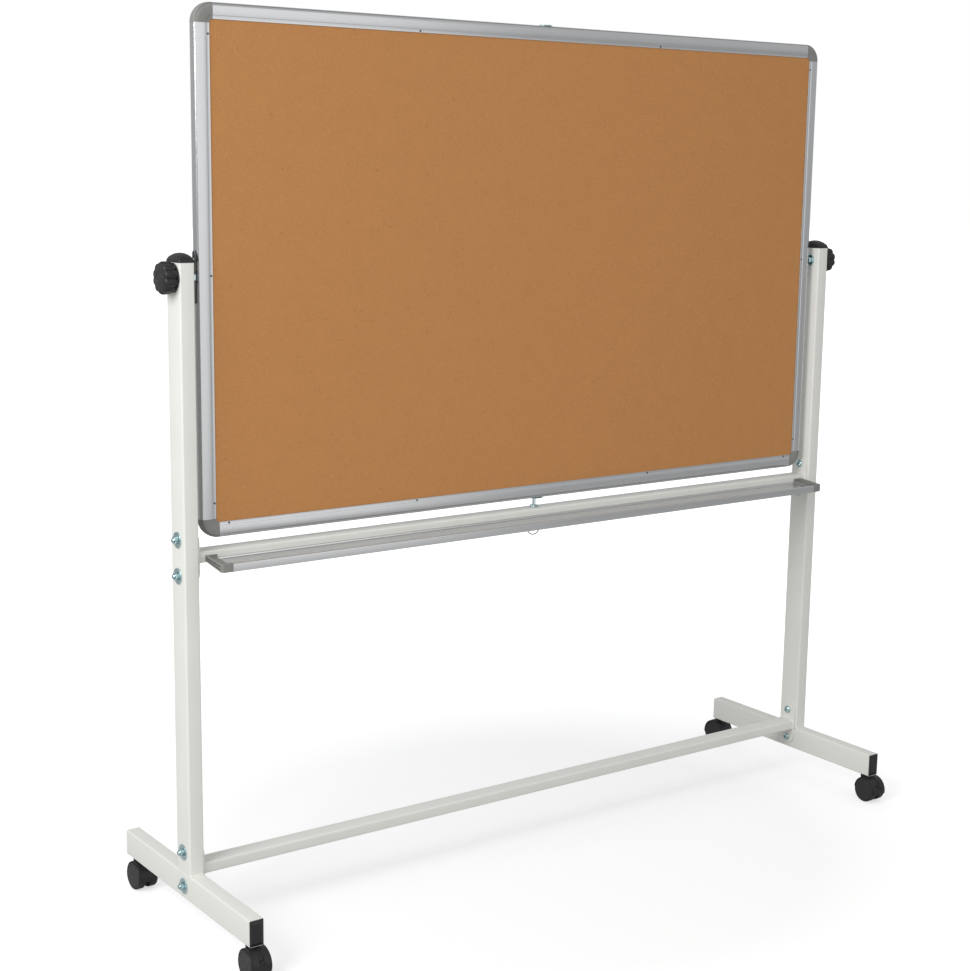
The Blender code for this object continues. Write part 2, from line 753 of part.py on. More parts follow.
def make_tray_cap(side, name, facing_front):
    """Moulded end of the tray: a wedge with a round front corner, two slots and a tongue under the floor."""
    deep = tray_depth
    back_top = tray_height + tray_cap_back_rise
    front_top = tray_height + tray_cap_front_rise
    outer = side * tray_half_length
    inner = outer - side * tray_cap_length
    wedge = [(0, tray_back_level), (deep, 0), (deep, front_top), (0, back_top)]
    cap = prism(name, (wedge,), tray_cap_length)
    place = Matrix.Translation(((outer + inner) / 2, tray_back, tray_bottom))
    cap.data.transform(place @ facing_front)
    corners = [edge.index for edge in cap.data.edges if all(
        cap.data.vertices[i].co.y < tray_front + gap and abs(cap.data.vertices[i].co.x - outer) < gap
        for i in edge.vertices)]
    weights = cap.data.attributes.new("bevel_weight_edge", "FLOAT", "EDGE")
    for number in corners:
        weights.data[number].value = 1.0
    rounding = cap.modifiers.new("round", "BEVEL")
    rounding.limit_method = "WEIGHT"
    rounding.width = tray_cap_round
    rounding.segments = arc_steps
    half = tray_cap_slot_height / 2
    near = tray_cap_slot_margin
    far = deep - tray_cap_slot_margin
    for number, share in enumerate(tray_cap_slot_shares):
        back_level = tray_back_level + (back_top - tray_back_level) * share
        front_level = front_top * share
        slot_outline = [(near, back_level - half), (far, front_level - half)]
        slot_outline += [(far, front_level + half), (near, back_level + half)]
        slot = prism(name + "_slot_" + str(number), (slot_outline,), 2 * tray_cap_slot_depth, cutters)
        slot.data.transform(Matrix.Translation((outer, tray_back, tray_bottom)) @ facing_front)
        cut(cap, slot)
    low_x, high_x = sorted((inner + side * overrun, inner - side * tray_cap_tongue))
    room = tray_wall + gap
    tongue = block(
        name + "_tongue", (low_x, tray_front + room, tray_bottom + gap),
        (high_x, tray_front + room + tray_cap_tongue_depth, tray_bottom + tray_floor_level - gap), cutters,
    )
    weld(cap, tongue)
    finish(cap, grey_plastic, 0.5)


# Where the latch pin slides and the pull ring swings
eye_height = crossbar_bottom - ring_eye_drop
latch_axis = (0, 0, eye_height)
latch_pivot = pivot("latch_pivot", latch_axis)
ring_pivot = pivot("ring_pivot", (0, 0, 0), parent=latch_pivot)


def make_latch():
    """Spring pin through the upper crossbar: guide bush, pin with its collar, coil spring and pull ring."""
    bush_low = crossbar_top - tube_wall - guide_flange_height - gap
    nut_low = crossbar_top + gap
    nut_high = nut_low + guide_nut_height
    bore = pin_radius + gap
    under = crossbar_top - tube_wall - gap
    profile = [(bore, nut_high), (guide_radius, nut_high), (guide_radius, under)]
    profile += [(guide_flange_radius, under), (guide_flange_radius, bush_low)]
    profile += [(bore, bush_low), (bore, nut_high)]
    guide = turned("latch_guide", profile)
    nut_outlines = (hexagon(guide_nut_flats), circle(guide_radius - gap))
    nut = prism("guide_nut", nut_outlines, guide_nut_height, cutters)
    nut.location = (0, 0, (nut_low + nut_high) / 2)
    weld(guide, nut)
    finish(guide, zinc, 0.35, 1.0)

    tip = board_bottom + pin_bite
    collar_top = bush_low - gap
    collar_low = collar_top - pin_collar_height
    tail = crossbar_bottom - pin_tail_drop
    profile = [(0, tip), (pin_radius - pin_tip_chamfer, tip), (pin_radius, tip - pin_tip_chamfer)]
    profile += [(pin_radius, collar_top), (pin_collar_radius, collar_top), (pin_collar_radius, collar_low)]
    profile += [(pin_tail_radius, collar_low), (pin_tail_radius, tail), (0, tail)]
    pin = turned("latch_pin", profile, small_steps)
    eye_start = (-2 * pin_radius, 0, eye_height)
    cut(pin, rod("ring_eye", ring_eye_radius, eye_start, 4 * pin_radius, "X", bolt_steps))
    hang_on(pin, latch_pivot, latch_axis)
    finish(pin, zinc, 0.35, 1.0)

    seat = crossbar_bottom + tube_wall + gap
    make_spring(seat + spring_wire / 2, collar_low - gap - spring_wire / 2)
    bpy.ops.mesh.primitive_torus_add(
        major_segments=round_steps, minor_segments=8, major_radius=ring_radius, minor_radius=ring_wire / 2,
        location=(0, 0, 0), rotation=(0, 0, 0),
    )
    ring = bpy.context.object
    ring.name = "pull_ring"
    for holder in list(ring.users_collection):
        holder.objects.unlink(ring)
    parts.objects.link(ring)
    ring.data.transform(Matrix.Translation((0, 0, -ring_radius)) @ Matrix.Rotation(math.pi / 2, 4, "X"))
    ring.parent = ring_pivot
    finish(ring, zinc, 0.3, 1.0)


def make_spring(low, high):
    """Compression spring round the pin's tail, between the crossbar's floor and the collar."""
    curve = bpy.data.curves.new("latch_spring", "CURVE")
    curve.dimensions = "3D"
    curve.bevel_depth = spring_wire / 2
    curve.bevel_resolution = 1
    curve.use_fill_caps = True
    count = spring_turns * spring_points_per_turn
    spline = curve.splines.new("POLY")
    spline.points.add(count)
    for number, point in enumerate(spline.points):
        angle = 2 * math.pi * number / spring_points_per_turn
        height = low + (high - low) * number / count
        point.co = (spring_radius * math.cos(angle), spring_radius * math.sin(angle), height, 1)
    drawn = bpy.data.objects.new("latch_spring_drawn", curve)
    parts.objects.link(drawn)
    mesh = evaluated_mesh(drawn)
    bpy.data.objects.remove(drawn)
    shape = bmesh.new()
    shape.from_mesh(mesh)
    bmesh.ops.remove_doubles(shape, verts=shape.verts, dist=gap / 100)
    bmesh.ops.recalc_face_normals(shape, faces=shape.faces)
    spring = place_mesh("latch_spring", shape, parts)
    finish(spring, zinc, 0.35, 1.0)
    print("latch spring: least gap between turns", (high - low) / spring_turns - spring_wire)


def knob_mesh():
    """Lobed clamping knob on a round flange, its base at local zero and its bore open there."""
    rim = knob_flange_radius - gap
    profile = [(0, knob_flange), (rim, knob_flange), (knob_flange_radius, knob_flange / 2), (rim, 0), (0, 0)]
    flange = turned("knob_flange", profile)
    shape = bmesh.new()
    count = knob_lobes * knob_points_per_lobe
    rings = []
    body_low = knob_flange - overrun
    for height_share, radius_share in knob_ring_shares:
        height = body_low + (knob_depth - body_low) * height_share
        ring = []
        for number in range(count):
            angle = 2 * math.pi * number / count
            lobe = 1 + knob_lobe_share * (math.cos(knob_lobes * angle) - 1) / 2
            radius = knob_radius * radius_share * lobe
            ring.append(shape.verts.new((radius * math.cos(angle), radius * math.sin(angle), height)))
        rings.append(ring)
    for lower, upper in zip(rings, rings[1:]):
        for number in range(count):
            shape.faces.new((lower[number - 1], lower[number], upper[number], upper[number - 1]))
    shape.faces.new(rings[-1])
    shape.faces.new(list(reversed(rings[0])))
    bmesh.ops.recalc_face_normals(shape, faces=shape.faces)
    body = place_mesh("knob_body", shape, cutters)
    weld(flange, body)
    cut(flange, rod("knob_bore", stud_radius + gap, (0, 0, -overrun), knob_bore_depth + overrun, "Z"))
    return settle(flange)


def make_pivots():
    """Strap on each side rail with its stud and nut, a washer against the upright, and the clamping knob."""
    tip = upright_gap + upright_width + knob_bore_depth - gap
    profile = [(0, stud_head_depth), (stud_head_radius, stud_head_depth), (stud_head_radius, stud_cone_depth)]
    profile += [(stud_radius, stud_cone_start), (stud_radius, -tip), (0, -tip)]
    stud = turned("stud_master", profile, small_steps)
    plate_outline = rounded_rectangle(pivot_plate_height, pivot_plate_width, pivot_plate_width / 2 - gap)
    plate = prism("stud_plate", (plate_outline,), pivot_plate_thickness, cutters)
    plate.location = (0, 0, -gap - pivot_plate_thickness / 2)
    nut = prism("stud_nut", (hexagon(stud_nut_flats),), stud_nut_height + overrun, cutters)
    nut.location = (0, 0, -gap - pivot_plate_thickness - (stud_nut_height - overrun) / 2)
    weld(stud, plate, nut)
    stud_shape = settle(stud)
    knob_shape = knob_mesh()
    for side, name in ((-1, "left"), (1, "right")):
        turn = Matrix.Rotation(math.radians(90 * side), 4, "Y")
        made = copy_of(name + "_pivot_plate", stud_shape)
        made.parent = board_pivot
        made.matrix_local = Matrix.Translation((side * board_half, 0, 0)) @ Matrix.Rotation(
            math.radians(-90 * side), 4, "Y")
        finish(made, zinc, 0.35, 1.0)
        knob = copy_of(name + "_knob", knob_shape)
        knob.parent = board_pivot
        knob.matrix_local = Matrix.Translation((side * (upright_outer + gap), 0, 0)) @ turn
        finish(knob, black_plastic, 0.45)
        outer = side * (upright_inner - gap)
        washer = rod(name + "_pivot_washer", pivot_washer_radius, (outer, 0, pivot_height),
                     -side * pivot_washer_thickness, "X", collection=parts)
        bore = rod(name + "_washer_bore", stud_radius + gap, (outer + side * overrun, 0, pivot_height),
                   -side * (pivot_washer_thickness + 2 * overrun), "X")
        cut(washer, bore)
        finish(washer, zinc, 0.35, 1.0)


def caster_body_mesh(braked):
    """Hood, web, neck, stem and axle of a twin-wheel caster, its swivel axis and the floor at local zero."""
    name = "braked_caster" if braked else "caster"
    axle = (wheel_offset, wheel_radius)
    outer = wheel_radius + hood_gap + hood_wall
    inner = wheel_radius + hood_gap
    steps = 3 * arc_steps
    band = arc(axle, outer, hood_front_angle, hood_back_angle, steps)
    band += list(reversed(arc(axle, inner, hood_front_angle, hood_back_angle, steps)))
    hood = prism(name + "_body", (band,), hood_width)
    hood.data.transform(facing_side)
    web_front = hood_front_angle + web_inset_angle
    spread = arc(axle, outer - hood_wall / 2, web_front, hood_back_angle - web_inset_angle, steps)
    boss_start = 180 + web_front + boss_gap_angle
    boss_end = 360 + web_front - boss_gap_angle
    spread += arc(axle, boss_radius, boss_start, boss_end, arc_steps)
    web = prism(name + "_web", (spread,), web_thickness, cutters)
    web.data.transform(facing_side)
    neck_low = wheel_radius + wheel_offset / 2
    neck_top = caster_height - gap
    neck = rod(name + "_neck", neck_radius, (0, 0, neck_low), neck_top - neck_low, "Z", small_steps)
    clear = rod(name + "_wheel_room", inner, (-hood_width, wheel_offset, wheel_radius), 2 * hood_width, "X")
    cut(neck, clear)
    stem_start = (0, 0, neck_top - overrun)
    stem = rod(name + "_stem", stem_radius, stem_start, stem_length + overrun, "Z", small_steps)
    pin_half = web_thickness / 2 + wheel_width - wheel_cover
    pin_start = (-pin_half, wheel_offset, wheel_radius)
    pin = rod(name + "_axle", axle_radius, pin_start, 2 * pin_half, "X", small_steps)
    weld(hood, web, neck, stem, pin)
    if braked:
        reach = outer * brake_pivot_share
        turn = math.radians(brake_pivot_angle)
        across = axle[0] + reach * math.cos(turn)
        up = axle[1] + reach * math.sin(turn)
        half = brake_plate_thickness / 2 + gap
        low = (-half, across - brake_hub_radius - 2 * gap, up - brake_slot_length)
        high = (half, axle[0] + outer + overrun, axle[1] + outer + overrun)
        cut(hood, block(name + "_slot", low, high, cutters))
        pedal_half = brake_pedal_width / 2 + gap
        low = (-pedal_half, axle[0] + inner * math.cos(turn), up - brake_slot_length)
        high = (pedal_half, axle[0] + outer + overrun, up + brake_hub_radius)
        cut(hood, block(name + "_pedal_room", low, high, cutters))
        weld(hood, rod(name + "_brake_pin", brake_pin_radius, (-web_thickness / 2 + overrun, across, up),
                       web_thickness - 2 * overrun, "X", bolt_steps))
    return settle(hood)


def wheel_mesh():
    """One wheel of the pair, its inner face at local zero, closed on its outer side."""
    bottom = wheel_width - wheel_cover + gap
    bore = axle_radius + gap
    rim = wheel_radius - wheel_edge
    profile = [(0, wheel_width), (rim, wheel_width), (wheel_radius, wheel_width - wheel_edge)]
    profile += [(wheel_radius, wheel_edge), (rim, 0), (bore, 0), (bore, bottom), (0, bottom)]
    return settle(turned("wheel_master", profile))


def brake_mesh():
    """Brake lever: a hub plate in the hood's slot and a pedal outside it, about its pivot at local zero."""
    reach = brake_reach
    half_pedal = brake_pedal_length / 2
    outline = arc((0, 0), brake_hub_radius, 40, 320, 2 * arc_steps)
    outline += [(reach, -brake_hub_radius), (reach, brake_hub_radius - brake_pedal_thickness)]
    lever = prism("brake_master", (outline,), brake_plate_thickness)
    lever.data.transform(facing_side)
    pedal = block(
        "brake_pedal", (-brake_pedal_width / 2, reach - half_pedal, -brake_hub_radius),
        (brake_pedal_width / 2, reach + half_pedal, -brake_hub_radius + brake_pedal_thickness), cutters,
    )
    weld(lever, pedal)
    bore_start = (-brake_pedal_width, 0, 0)
    cut(lever, rod("brake_bore", brake_pin_radius + gap, bore_start, 2 * brake_pedal_width, "X", bolt_steps))
    return settle(lever)


def make_casters():
    """Four swivelling twin-wheel casters, each turned its own way, with brakes on the front two."""
    plain_body = caster_body_mesh(False)
    braked_body = caster_body_mesh(True)
    wheel_shape = wheel_mesh()
    brake_shape = brake_mesh()
    outer = wheel_radius + hood_gap + hood_wall
    turn = math.radians(brake_pivot_angle)
    brake_place = (0, wheel_offset + outer * brake_pivot_share * math.cos(turn),
                   wheel_radius + outer * brake_pivot_share * math.sin(turn))
    for end, end_name in ((-1, "front"), (1, "rear")):
        for side, side_name in ((-1, "left"), (1, "right")):
            name = end_name + "_" + side_name
            yaw = math.radians(caster_turns[name])
            swivel = pivot(name + "_swivel", (side * upright_centre, end * swivel_back, 0), yaw)
            body = copy_of(name + "_caster_body", braked_body if end < 0 else plain_body)
            body.parent = swivel
            finish(body, black_plastic, 0.45)
            for half, half_name in ((-1, "inner"), (1, "outer")):
                toward = half * side * (1 if math.cos(yaw) > 0 else -1)
                wheel = copy_of(name + "_" + half_name + "_wheel", wheel_shape)
                wheel.parent = swivel
                start = toward * (web_thickness / 2 + gap)
                axle = Matrix.Translation((start, wheel_offset, wheel_radius))
                wheel.matrix_local = axle @ Matrix.Rotation(math.radians(90 * toward), 4, "Y")
                finish(wheel, black_plastic, 0.5)
            if end < 0:
                brake = copy_of(name + "_brake_lever", brake_shape)
                brake.parent = swivel
                brake.location = brake_place
                finish(brake, black_plastic, 0.45)


make_rails()
make_corners()
make_panels()
make_strikes()
make_uprights()
make_feet()
make_crossbars()
make_bolts()
make_tray()
make_latch()
make_pivots()
make_casters()
bpy.context.view_layer.update()
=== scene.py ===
"""Looks of a reversible cork and dry-wipe board on a rolling stand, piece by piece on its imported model."""

import json
import math

import bmesh
import bpy
from mathutils import Matrix, Vector


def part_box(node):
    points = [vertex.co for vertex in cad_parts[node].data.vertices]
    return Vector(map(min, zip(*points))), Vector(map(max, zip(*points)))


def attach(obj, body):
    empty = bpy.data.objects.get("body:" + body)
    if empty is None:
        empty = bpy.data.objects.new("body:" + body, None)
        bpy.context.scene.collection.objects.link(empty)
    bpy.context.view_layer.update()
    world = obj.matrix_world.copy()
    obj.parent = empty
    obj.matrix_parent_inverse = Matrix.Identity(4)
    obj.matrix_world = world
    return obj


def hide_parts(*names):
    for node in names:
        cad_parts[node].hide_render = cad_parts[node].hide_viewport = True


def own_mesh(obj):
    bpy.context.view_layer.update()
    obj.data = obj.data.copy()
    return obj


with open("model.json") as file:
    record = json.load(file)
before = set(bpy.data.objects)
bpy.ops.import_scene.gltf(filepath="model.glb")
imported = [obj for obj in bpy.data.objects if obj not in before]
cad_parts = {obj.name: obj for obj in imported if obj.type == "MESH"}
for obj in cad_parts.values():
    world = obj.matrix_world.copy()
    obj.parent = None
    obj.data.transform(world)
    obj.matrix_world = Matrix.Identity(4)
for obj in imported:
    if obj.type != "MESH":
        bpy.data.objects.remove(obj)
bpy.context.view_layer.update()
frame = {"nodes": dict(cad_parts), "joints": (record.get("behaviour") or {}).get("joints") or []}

# Camera
# The photograph was taken from the left of the board, a little above its middle, with a slight roll.
lens = bpy.data.cameras.new("camera")
lens.lens = 64.6
lens.sensor_width = 36
camera = bpy.data.objects.new("camera", lens)
bpy.context.scene.collection.objects.link(camera)
camera_place = (-2.0993, -2.7416, 1.3846)
heading = math.radians(35.797)
dip = math.radians(-10.453)
roll = math.radians(0.816)
forward = Vector((math.sin(heading) * math.cos(dip), math.cos(heading) * math.cos(dip), math.sin(dip)))
looking = forward.to_track_quat("-Z", "Y").to_matrix().to_4x4()
camera.matrix_world = Matrix.Translation(camera_place) @ looking @ Matrix.Rotation(roll, 4, "Z")
bpy.context.scene.camera = camera
bpy.context.scene.view_settings.view_transform = "Standard"


# Studio
# A white floor that runs into a white backdrop, a pale surround, one soft lamp high on the left, and a wide
# dim panel in front, which the metal on the left mirrors, so that the frame is darker towards the right.
def shade(red, green, blue):
    """A colour as a screen shows it, from 0 to 255, as the light that a shader takes."""
    return tuple(((level / 255 + 0.055) / 1.055) ** 2.4 for level in (red, green, blue))


class Value:
    """A number inside a finish, which plain sums and products combine."""

    def __init__(self, finish, socket):
        self.finish = finish
        self.socket = socket

    def combined(self, operation, first, second):
        return self.finish.node("ShaderNodeMath", {"operation": operation}, (first, second))

    def __add__(self, other):
        return self.combined("ADD", self, other)

    def __radd__(self, other):
        return self.combined("ADD", other, self)

    def __rsub__(self, other):
        return self.combined("SUBTRACT", other, self)

    def __mul__(self, other):
        return self.combined("MULTIPLY", self, other)

    def __rmul__(self, other):
        return self.combined("MULTIPLY", other, self)

    def __gt__(self, other):
        return self.combined("GREATER_THAN", self, other)


class Finish:
    """A surface finish: one Principled shader, what feeds it, and the material slot it belongs to."""

    def __init__(self, name, slot, colour, roughness, metallic=0.0):
        self.slot = slot
        self.material = bpy.data.materials.new(name)
        self.material.use_nodes = True
        self.tree = self.material.node_tree
        self.shader = self.tree.nodes["Principled BSDF"]
        self.relief = None
        self.feed("Base Color", colour)
        self.feed("Roughness", roughness)
        self.feed("Metallic", metallic)

    def connect(self, socket, value):
        if isinstance(value, Value):
            self.tree.links.new(value.socket, socket)
        elif socket.type == "RGBA":
            socket.default_value = (*value, 1.0)
        else:
            socket.default_value = value

    def node(self, kind, settings=None, values=(), output=0):
        """Adds any node, with its settings and its inputs, and gives one of its outputs."""
        made = self.tree.nodes.new(kind)
        for key, setting in (settings or {}).items():
            setattr(made, key, setting)
        pairs = values.items() if isinstance(values, dict) else enumerate(values)
        for key, value in pairs:
            self.connect(made.inputs[key], value)
        return Value(self, made.outputs[output])

    def feed(self, name, value):
        self.connect(self.shader.inputs[name], value)

    def place(self, stretch):
        """The piece's own coordinates in metres, times a stretch along each axis."""
        own = self.node("ShaderNodeTexCoord", output="Object")
        return self.node("ShaderNodeMapping", None, {"Vector": own, "Scale": stretch})

    def noise(self, size, detail=2.0, stretch=(1, 1, 1)):
        """Soft noise from 0 to 1 with blotches of that size in metres."""
        values = {"Vector": self.place(stretch), "Scale": 1 / size, "Detail": detail}
        return self.node("ShaderNodeTexNoise", None, values)

    def cells(self, size, output, feature="F1"):
        """Cells of that size in metres: their random colour, or the distance to their edge."""
        values = {"Vector": self.place((1, 1, 1)), "Scale": 1 / size}
        return self.node("ShaderNodeTexVoronoi", {"feature": feature}, values, output)

    def spread(self, value, low, high, first=0.0, last=1.0):
        """Stretches what lies between two levels over another range, and cuts off the rest."""
        return self.node("ShaderNodeMapRange", None, (value, low, high, first, last))

    def blend(self, factor, first, second):
        """A colour between two others."""
        return self.node("ShaderNodeMix", {"data_type": "RGBA"}, {0: factor, 6: first, 7: second}, 2)

    def emboss(self, height, depth):
        """Adds relief of that depth in metres to what the surface already has."""
        values = {"Height": height, "Distance": depth, "Strength": 1.0}
        if self.relief:
            values["Normal"] = self.relief
        self.relief = self.node("ShaderNodeBump", None, values)
        self.feed("Normal", self.relief)

    def mottle(self, size, detail, first, last, smoothest, rougher):
        """Blotches between two colours, each with its own roughness."""
        blotch = self.noise(size, detail)
        self.feed("Base Color", self.blend(blotch, shade(*first), shade(*last)))
        self.feed("Roughness", smoothest + rougher * blotch)


floor_finish = Finish("studio_floor", None, (0.52, 0.52, 0.52), 0.9)
floor_finish.feed("Specular IOR Level", 0.0)
in_metal = 0.1  # how bright metals see the floor's own light
seen = floor_finish.node("ShaderNodeLightPath", output="Is Camera Ray")
mirrored = floor_finish.node("ShaderNodeLightPath", output="Is Glossy Ray")
spot = floor_finish.node("ShaderNodeTexCoord", output="Object")
away = floor_finish.node("ShaderNodeVectorMath", {"operation": "LENGTH"}, (spot,), 1)
whiter = floor_finish.spread(away, 0.6, 1.8, 0.52, 1.0)
floor_finish.feed("Emission Color", (seen + in_metal * mirrored) * whiter)
floor_finish.feed("Emission Strength", 1.0)
floor_shape = bmesh.new()
bmesh.ops.create_grid(floor_shape, x_segments=1, y_segments=1, size=30)
floor_mesh = bpy.data.meshes.new("studio_floor")
floor_shape.to_mesh(floor_mesh)
floor_shape.free()
floor_mesh.materials.append(floor_finish.material)
floor = bpy.data.objects.new("studio_floor", floor_mesh)
bpy.context.scene.collection.objects.link(floor)

surround = bpy.data.worlds.new("surround")
bpy.context.scene.world = surround
surround.use_nodes = True
sky = surround.node_tree
paths = sky.nodes.new("ShaderNodeLightPath")
backdrop = sky.nodes.new("ShaderNodeMix")
backdrop.data_type = "RGBA"
backdrop.inputs[6].default_value = (0.54, 0.545, 0.55, 1)
backdrop.inputs[7].default_value = (1, 1, 1, 1)
sky.links.new(paths.outputs["Is Camera Ray"], backdrop.inputs[0])
sky.links.new(backdrop.outputs[2], sky.nodes["Background"].inputs["Color"])


def lamp(name, place, aim, width, height, power):
    """A rectangular soft lamp that points at a place."""
    light = bpy.data.lights.new(name, "AREA")
    light.shape = "RECTANGLE"
    light.size = width
    light.size_y = height
    light.energy = power
    made = bpy.data.objects.new(name, light)
    bpy.context.scene.collection.objects.link(made)
    toward = (Vector(aim) - Vector(place)).to_track_quat("-Z", "Y").to_matrix().to_4x4()
    made.matrix_world = Matrix.Translation(place) @ toward


lamp("key_lamp", (-3.5, -0.9, 2.7), (-0.6, 0.0, 1.3), 2.0, 2.2, 98)
lamp("front_panel", (-1.0, -3.7, 2.0), (-1.0, 0.0, 2.0), 6.5, 4.0, 46)

# Uprights
# Two rectangular steel tubes with round corners, powder coated white. The board's stud and the crossbar
# bolts go through both of their side walls.
paint = Finish("white_powder_coat", "white_paint", shade(226, 226, 222), 0.36)
paint.mottle(0.11, 3.0, (222, 222, 216), (230, 230, 224), 0.30, 0.13)
paint.emboss(paint.noise(0.0013, 1.0), 0.00005)


def rounded(width, height, radius, steps=6):
    """Points round a rectangle with round corners, about its middle."""
    across = width / 2 - radius
    up = height / 2 - radius
    outline = []
    for quarter, (x, y) in enumerate(((across, up), (-across, up), (-across, -up), (across, -up))):
        for number in range(steps + 1):
            angle = math.pi / 2 * (quarter + number / steps)
            outline.append((x + radius * math.cos(angle), y + radius * math.sin(angle)))
    return outline


def at_level(outline, level):
    return [(x, y, level) for x, y in outline]


def loft(shape, rings, joined=False):
    """Skins the rings one after another. The ends get a face each, or meet where they are joined."""
    made = [[shape.verts.new(point) for point in ring] for ring in rings]
    pairs = list(zip(made, made[1:]))
    if joined:
        pairs.append((made[-1], made[0]))
    for lower, upper in pairs:
        for number in range(len(lower)):
            shape.faces.new((lower[number - 1], lower[number], upper[number], upper[number - 1]))
    if not joined:
        shape.faces.new(made[0])
        shape.faces.new(made[-1])
    return shape


def tube(width, height, radius, wall, length):
    """A rectangular tube about local Z, open at both ends, from zero up."""
    outside = rounded(width, height, radius)
    inside = rounded(width - 2 * wall, height - 2 * wall, radius - wall)
    rings = [at_level(outside, 0), at_level(outside, length), at_level(inside, length), at_level(inside, 0)]
    return loft(bmesh.new(), rings, joined=True)


def rod(shape, start, end, radius, steps=24):
    """Adds a closed cylinder between two points."""
    run = Vector(end) - Vector(start)
    place = Matrix.Translation((Vector(start) + Vector(end)) / 2)
    place = place @ run.to_track_quat("Z", "Y").to_matrix().to_4x4()
    bmesh.ops.create_cone(
        shape, cap_ends=True, segments=steps, radius1=radius, radius2=radius, depth=run.length, matrix=place
    )
    return shape


def loose(name, shape):
    """A plain object of a bmesh, which is used up."""
    bmesh.ops.recalc_face_normals(shape, faces=shape.faces)
    mesh = bpy.data.meshes.new(name)
    shape.to_mesh(mesh)
    shape.free()
    made = bpy.data.objects.new(name, mesh)
    bpy.context.scene.collection.objects.link(made)
    return made


def carved(shape, cutters):
    """Cuts away what each of the other closed shapes covers."""
    work = loose("work", shape)
    tools = [loose("tool", cutter) for cutter in cutters]
    for tool in tools:
        step = work.modifiers.new("hole", "BOOLEAN")
        step.object = tool
    bpy.context.view_layer.update()
    mesh = bpy.data.meshes.new_from_object(work.evaluated_get(bpy.context.evaluated_depsgraph_get()))
    for used in [work] + tools:
        bpy.data.objects.remove(used)
    result = bmesh.new()
    result.from_mesh(mesh)
    return result


def drilled(shape, holes):
    """Cuts round holes, each given by two points and a radius."""
    return carved(shape, [rod(bmesh.new(), *hole) for hole in holes])


def piece(name, shape, finish, body, stands_for=(), angle=32):
    """Finishes a bmesh as a smooth-shaded piece on a body, in place of CAD nodes."""
    made = loose(name, shape)
    made.data.materials.append(finish.material)
    made.data.shade_smooth()
    made.data.set_sharp_from_angle(angle=math.radians(angle))
    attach(made, body)
    if stands_for:
        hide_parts(*stands_for)
    return made


def middle(node):
    low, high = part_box(node)
    return (low + high) / 2


def stack(width, height, radius, levels, steps):
    """Skins round-cornered rectangles over one another, from pairs of level and inset."""
    return loft(bmesh.new(), [
        at_level(rounded(width - 2 * inset, height - 2 * inset, radius - inset, steps), level)
        for level, inset in levels
    ])


def turned_at(spot, degrees, axis="Y"):
    """A place and a turn about one axis through it."""
    return Matrix.Translation(spot) @ Matrix.Rotation(math.radians(degrees), 4, axis)


tube_round = 0.0030
tube_wall = 0.0015
past = 0.01  # how far a cutter runs past what it cuts
bolt_hole = 0.0044
bolt_names = [f"{bar}_crossbar_bolt_{end}" for bar in ("upper", "lower") for end in ("top", "bottom")]
for side in ("left", "right"):
    low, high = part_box(f"{side}_upright")
    shape = tube(high.x - low.x, high.y - low.y, tube_round, tube_wall, high.z - low.z)
    shape.transform(Matrix.Translation(((low.x + high.x) / 2, 0, low.z)))
    holes = []
    for crossing in ["pivot_plate"] + bolt_names:
        level = middle(f"{side}_{crossing}").z
        if level > low.z:
            holes.append(((low.x - past, 0, level), (high.x + past, 0, level), bolt_hole))
    piece(f"{side}_upright_tube", drilled(shape, holes), paint, "stand", [f"{side}_upright"])

# Upright caps
# Black moulded caps pushed into the tubes: a low rim, and a top that is arched from front to back and
# falls off softly towards its sides.
black = Finish("black_moulding", "black_plastic", shade(35, 35, 36), 0.4)
black.mottle(0.018, 3.0, (30, 30, 31), (40, 40, 41), 0.30, 0.18)
black.feed("Specular IOR Level", 0.35)
black.emboss(black.noise(0.0007, 2.0), 0.00004)

cap_edge = 0.0012  # straight rim below the arch, and the rounding at the two ends
cap_rise = 0.0162
cap_seat = 0.0003  # air between the cap and the tube's end
cap_fall = 0.34  # how much the arch falls off towards its sides, as a share
insert_inset = 0.0018
arch_steps = 32
slices = 20
for side in ("left", "right"):
    low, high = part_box(f"{side}_upright_cap")
    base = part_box(f"{side}_upright")[1].z + cap_seat
    deep = (high.y - low.y) / 2
    half_width = (high.x - low.x) / 2
    rings = []
    for number in range(slices + 1):
        across = -math.cos(math.pi * number / slices)
        x = low.x + half_width * (1 + across)
        end_round = cap_edge * max(0.0, abs(across) - 0.9) / 0.1
        span = deep - end_round
        bulge = (cap_rise - cap_edge) * (1 - cap_fall * abs(across) ** 2.4) - end_round
        ring = [(x, -span, base)]
        for step in range(arch_steps + 1):
            turn = math.pi * step / arch_steps
            ring.append((x, -span * math.cos(turn), base + cap_edge + bulge * math.sin(turn) ** 0.95))
        rings.append(ring + [(x, span, base)])
    shape = loft(bmesh.new(), rings)
    insert = rounded(high.x - low.x - 2 * insert_inset, 2 * deep - 2 * insert_inset, cap_edge, 3)
    insert = [(x + (low.x + high.x) / 2, y) for x, y in insert]
    loft(shape, [at_level(insert, low.z), at_level(insert, base + 0.001)])
    piece(f"{side}_cap", shape, black, "stand", [f"{side}_upright_cap"])

